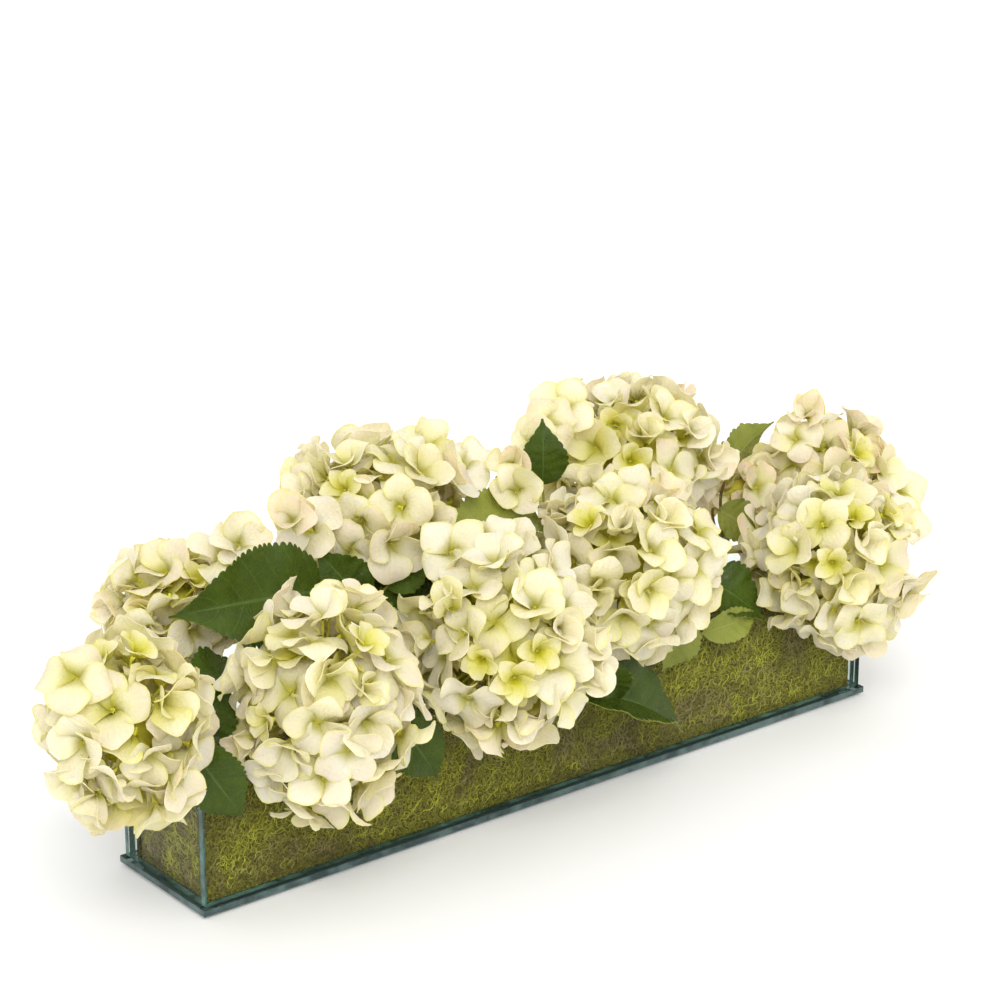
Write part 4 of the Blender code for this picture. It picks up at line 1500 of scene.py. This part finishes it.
@dataclass
class HydrangeaHead:
    """A full head: layers of florets fitted over an ellipsoid, on stalks from a shaded core."""

    number: int
    plan: HeadPlan
    layers: tuple[Layer, ...]
    room: Bouquet
    coverage: float = 1.90
    floret_area: float = 0.0020
    trials: int = 14
    stray_trials: int = 40
    trial_cost: float = 0.01
    pole: Vector = field(default_factory=lambda: Vector((-0.45, -0.62, 0.65)).normalized())
    youth_from: float = 0.55
    youth_full: float = 0.95
    young_share: float = 0.09
    small_head: float = 0.04
    small_size: float = 0.80
    jitter: float = 0.09
    stray_jitter: float = 0.02
    uneven: float = 0.10
    uneven_scale: float = 1.9
    insets: tuple[float, float] = (-0.003, 0.006)
    depth_kept: float = 0.3
    deepest: float = 0.35
    sizes: tuple[float, float] = (0.86, 1.05)
    leans: tuple[float, ...] = (0.20, 0.26, 0.34, 0.60)
    outward: float = 0.4
    gap_to_glass: float = 0.006
    gap_to_table: float = 0.024
    lime_draw: float = 0.40
    lime_young: float = 0.62
    lime_pole: float = 0.24
    # lime given to the inner layers: painted shade colour of the head's depths
    inside_painted_shade: float = 4.5
    lime_spread: float = 0.08
    blush_drop: float = 0.22
    blush_draw: float = 0.22
    blush_young: float = 0.3
    blush_spread: float = 0.12
    core_share: float = 0.36
    lump: float = 0.16
    lump_scale: float = 3.5
    root_share: float = 0.30
    calyx: float = 0.0040
    calyx_rise: float = 0.0004
    calyx_radius: float = 0.0022
    stalk_radius: float = 0.0009
    root_radius: float = 0.0007

    def __post_init__(self) -> None:
        """Start the head's random draws, its petals' shape and the list of its florets."""
        self.rng = random.Random(SEED * 100 + self.number)
        self.bm = new_bmesh("petal", "tint")
        self.florets: list[Floret] = []

    def build(self, petals: bpy.types.Material, stalks: bpy.types.Material) -> None:
        """Make the head's two pieces.

        Args:
            petals: The finish of the petals.
            stalks: The finish of the stalks and the core, a light lime that is painted light in the head's
                shaded hollows.
        """
        for stray in self.plan.strays:
            spot = Vector(stray)
            self.fit((spot - Vector(self.plan.centre)).normalized(), self.layers[0], spot)
        mean = (self.plan.across * self.plan.across * self.plan.up) ** (1 / 3)
        outer = round(4 * math.pi * mean**2 * self.coverage / self.floret_area)
        for layer in self.layers:
            self.lay(round(outer * layer.share), layer)
        name = f"{self.number:02d}"
        finish_piece(self.bm, "petals_" + name, [petals], "head_" + name)
        self.build_stalks(stalks)
        LOG.info("head %s: %d florets", name, len(self.florets))

    def lay(self, count: int, layer: Layer) -> None:
        """Fit one layer of florets.

        Args:
            count: How many directions are tried, spread evenly over the whole ellipsoid.
            layer: The layer.
        """
        start = self.rng.uniform(0, 2 * math.pi)
        golden = math.pi * (3 - math.sqrt(5))
        for number in range(count):
            height = 1 - 2 * (number + 0.5) / count
            ring = math.sqrt(1 - height * height)
            angle = start + golden * number
            self.fit(Vector((ring * math.cos(angle), ring * math.sin(angle), height)), layer)

    def fit(self, way: Vector, layer: Layer, spot: Vector | None = None) -> None:
        """Try a floret some ways round one direction, and keep the one that crosses least.

        Args:
            way: The direction from the head's middle.
            layer: The layer that it is part of.
            spot: The throat's own place, for a floret that strays from the outline.
        """
        youth = smooth(way.dot(self.pole), self.youth_from, self.youth_full)
        best = None
        fewest = 1e9
        for trial in range(self.trials if spot is None else self.stray_trials):
            floret = self.draw(way, layer, youth, spot)
            if floret is None:
                continue
            count = self.room.crossings(floret, fewest) + trial * self.trial_cost
            if count < fewest:
                best = floret
                fewest = count
        if best is None or fewest >= self.room.glass_weight:
            return
        self.room.placed.append(best)
        self.florets.append(best)
        add_copy(self.bm, best.pattern.mesh, best.stand, self.tints(best.pattern, youth, layer.size))

    def draw(self, way: Vector, layer: Layer, youth: float, spot: Vector | None) -> Floret | None:
        """Draw one try at a floret.

        Args:
            way: The direction from the head's middle.
            layer: The layer that it is part of.
            youth: How near the head's pole that direction is.
            spot: The throat's own place, for a floret that strays from the outline.

        Returns:
            The floret, or None where it has no room.
        """
        plan = self.plan
        rng = self.rng
        sizes = Vector((plan.across, plan.across, plan.up))
        small = layer.size * (self.small_size if plan.across < self.small_head else 1.0)
        jitter = scatter(rng) * self.jitter
        aim = (way + jitter).normalized()
        reach = 1 / shares(aim, sizes.x, sizes.z).length
        reach *= 1 + self.uneven * noise.noise(aim * self.uneven_scale + Vector((7.0 * self.number, 0, 0)))
        inset = layer.depth * (small + self.depth_kept) / (1 + self.depth_kept) + rng.uniform(*self.insets)
        place = Vector(plan.centre) + aim * max(reach - inset, self.deepest * reach)
        if spot is not None:
            place = spot + jitter * self.stray_jitter
        kind = self.draw_kind(youth if spot is None else 0.0)
        scale = small * rng.uniform(*self.sizes)
        if self.blocked(place, scale):
            return None
        normal = shares(aim, sizes.x**2, sizes.z**2).normalized()
        most = rng.choice(self.leans)
        lean = scatter(rng) * most
        axis = (normal + aim * self.outward + lean).normalized()
        if spot is not None:
            axis = (aim * self.outward + self.pole + lean * self.outward).normalized()
        pattern = rng.choice(layer.stock[kind])
        spin = Quaternion((0, 0, 1), rng.uniform(0, 2 * math.pi))
        stand = Matrix.LocRotScale(place, axis.to_track_quat("Z", "Y") @ spin, Vector((scale,) * 3))
        array = np.array(stand)
        points = pattern.points @ array[:3, :3].T + array[:3, 3]
        tree = BVHTree.FromPolygons(points.tolist(), pattern.corners)
        return Floret(place, axis, pattern, stand, tree)

    def draw_kind(self, youth: float) -> FloretKind:
        """Draw a floret's form, which is more often young near the head's pole.

        Args:
            youth: How near the pole it stands.

        Returns:
            The form.
        """
        if self.rng.random() < youth * self.young_share:
            return FloretKind.YOUNG
        kinds = list(FloretKind)
        return self.rng.choices(kinds, [kind.value[-1] for kind in kinds])[0]

    def blocked(self, place: Vector, scale: float) -> bool:
        """Return whether a floret has no room at a place.

        Args:
            place: The floret's throat.
            scale: Its size.

        Returns:
            True in the box, in another head or too near the table.
        """
        margin = self.gap_to_glass * scale
        in_box = (
            abs(place.x) < BOX.outer_x + margin
            and abs(place.y) < BOX.outer_y + margin
            and place.z < BOX.rim + margin
        )
        return in_box or place.z < self.gap_to_table or self.room.taken(self.plan, place)

    def tints(self, pattern: FloretPattern, youth: float, size: float) -> np.ndarray:
        """Draw a floret's tint: how green, how blushed and how strong its rim is.

        Args:
            pattern: The floret's pattern.
            youth: How near the head's pole it stands.
            size: Its layer's size; the inner layers are painted greener as the shade colour of the head's
                depths.

        Returns:
            One RGBA row for each vertex.
        """
        rng = self.rng
        young = pattern.kind is FloretKind.YOUNG
        green = rng.random() ** 2 * self.lime_draw + (self.lime_young if young else 0.0)
        # the inner layers' extra lime is painted shade of the head's depths
        green += youth * self.lime_pole + (1 - size) * self.inside_painted_shade
        blush = rng.gauss(self.plan.blush - self.blush_drop, self.blush_draw)
        blush = max(0.0, blush) * (self.blush_young if young else 1.0)
        rows = np.empty((MARKS, 4))
        for row in rows:
            row[0] = min(1.0, max(0.0, green + rng.gauss(0, self.lime_spread)))
            row[1] = min(1.0, max(0.0, blush + rng.gauss(0, self.blush_spread)))
            row[2] = rng.random()
            row[3] = 1
        return rows[pattern.petals]

    def build_stalks(self, material: bpy.types.Material) -> None:
        """Make the lumpy core and a thin stalk from it to each floret.

        Args:
            material: Their finish, a light lime that is painted light in the head's shaded hollows.
        """
        plan = self.plan
        centre = Vector(plan.centre)
        name = f"{self.number:02d}"
        wide = plan.across * self.core_share
        deep = min(plan.up * self.core_share, centre.z - BOX.rim - self.gap_to_glass)
        bm = new_bmesh()
        made = bmesh.ops.create_icosphere(bm, subdivisions=3, radius=1.0)["verts"]
        for vertex in made:
            lump = 1 + self.lump * noise.noise(vertex.co * self.lump_scale + centre * 40)
            vertex.co = centre + Vector((vertex.co.x * wide, vertex.co.y * wide, vertex.co.z * deep)) * lump
        for floret in self.florets:
            calyx = floret.place - floret.axis * self.calyx
            throat = floret.place + floret.axis * self.calyx_rise
            root = centre.lerp(floret.place, self.root_share)
            self.add_cone(bm, throat, calyx, self.calyx_radius, self.stalk_radius)
            self.add_cone(bm, calyx, root, self.stalk_radius, self.root_radius)
        finish_piece(bm, "stalks_" + name, [material], "head_" + name)

    def add_cone(
        self, bm: bmesh.types.BMesh, start: Vector, end: Vector, start_radius: float, end_radius: float
    ) -> None:
        """Add a thin tapered rod between two points.

        Args:
            bm: Where the rod is added.
            start: Its first end.
            end: Its last end.
            start_radius: Its radius at the first end.
            end_radius: Its radius at the last end.
        """
        way = end - start
        stand = Matrix.LocRotScale((start + end) / 2, way.to_track_quat("Z", "Y"), None)
        bmesh.ops.create_cone(
            bm, cap_ends=True, segments=5, radius1=start_radius, radius2=end_radius,
            depth=way.length, matrix=stand,
        )


@dataclass
class Studio:
    """A white floor, soft daylight from the upper left, and the camera at the photograph's angle."""

    lens: float = 110.33
    sensor: float = 36.0
    eye: tuple[float, float, float] = (-1.25703, -1.56971, 0.93077)
    azimuth: float = -38.184
    elevation: float = 19.466
    world: float = 1.06
    key: float = 1.9
    key_way: tuple[float, float, float] = (0.44, 0.66, -0.66)
    key_angle: float = 38.0
    floor_half: float = 9.0
    clip: tuple[float, float] = (0.05, 50.0)

    def build(self) -> None:
        """Make the floor, the light and the camera."""
        scene = bpy.context.scene
        scene.view_settings.view_transform = "Standard"
        scene.view_settings.look = "None"
        self.build_floor()
        world = bpy.data.worlds.new("studio_world")
        world.use_nodes = True
        backdrop = world.node_tree.nodes["Background"]
        backdrop.inputs["Color"].default_value = (1.0, 1.0, 1.0, 1.0)
        backdrop.inputs["Strength"].default_value = self.world
        scene.world = world
        light = bpy.data.lights.new("soft_key", "SUN")
        light.energy = self.key
        light.angle = math.radians(self.key_angle)
        lamp = add_object("soft_key", light)
        lamp.rotation_mode = "QUATERNION"
        lamp.rotation_quaternion = Vector(self.key_way).to_track_quat("-Z", "Y")
        self.build_camera()
        LOG.info("studio: floor, key light and camera")

    def build_floor(self) -> None:
        """Make the white floor."""
        bm = new_bmesh()
        bmesh.ops.create_grid(bm, x_segments=1, y_segments=1, size=self.floor_half)
        mesh = make_mesh(bm, "studio_floor")
        mesh.materials.append(FloorFinish().material())
        add_object("studio_floor", mesh)

    def build_camera(self) -> None:
        """Make the camera where the photograph was taken from."""
        data = bpy.data.cameras.new("camera")
        data.lens = self.lens
        data.sensor_width = self.sensor
        data.clip_start, data.clip_end = self.clip
        camera = add_object("camera", data)
        turn = math.radians(self.azimuth)
        rise = math.radians(self.elevation)
        back = Vector((math.sin(turn) * math.cos(rise), -math.cos(turn) * math.cos(rise), math.sin(rise)))
        camera.location = self.eye
        camera.rotation_mode = "QUATERNION"
        camera.rotation_quaternion = (-back).to_track_quat("-Z", "Y")
        bpy.context.scene.camera = camera


def glass_tree() -> BVHTree:
    """Make a search tree of all the glass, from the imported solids.

    Returns:
        The tree.
    """
    points = []
    corners = []
    for name in GLASS:
        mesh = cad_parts[name].data
        first = len(points)
        points += [vertex.co.copy() for vertex in mesh.vertices]
        corners += [[first + index for index in face.vertices] for face in mesh.polygons]
    return BVHTree.FromPolygons(points, corners)


def main() -> None:
    """Build and dress the sub-assemblies in order."""
    logging.basicConfig(level=logging.INFO, format="%(name)s: %(message)s")
    Studio().build()
    GlassBox().dress()
    MossLining().build()
    leaf = LeafFinish()
    upper = leaf.material("leaf_upper", leaf.upper, leaf.upper_light, leaf.upper_vein)
    under = leaf.material("leaf_under", leaf.under, leaf.under_light, leaf.under_vein)
    tape = StalkFinish().material("taped_stem")
    # the heads' stalks and cores are a light lime: painted light that lifts the shaded hollows among the
    # florets
    stalk = StalkFinish(srgb(214, 212, 72), srgb(192, 182, 66)).material("flower_stalk_painted_light")
    trees = []
    for number, plan in enumerate(PLANS, 1):
        trees += LeafyStem(number, plan).build([tape, upper, under])
    flowers = tuple(plan.flowered() for plan in PLANS)
    room = Bouquet(flowers, trees, glass_tree())
    florets = FloretStock()
    fine = florets.build((5, 6))
    coarse = florets.build((4, 4))
    layers = (Layer(1.0, 0.019, 1.0, fine), Layer(0.6, 0.024, 0.94, fine), Layer(0.5, 0.032, 0.86, coarse))
    petals = PetalFinish().material()
    for number, plan in enumerate(flowers, 1):
        HydrangeaHead(number, plan, layers, room).build(petals, stalk)


if __name__ == "__main__":
    main()
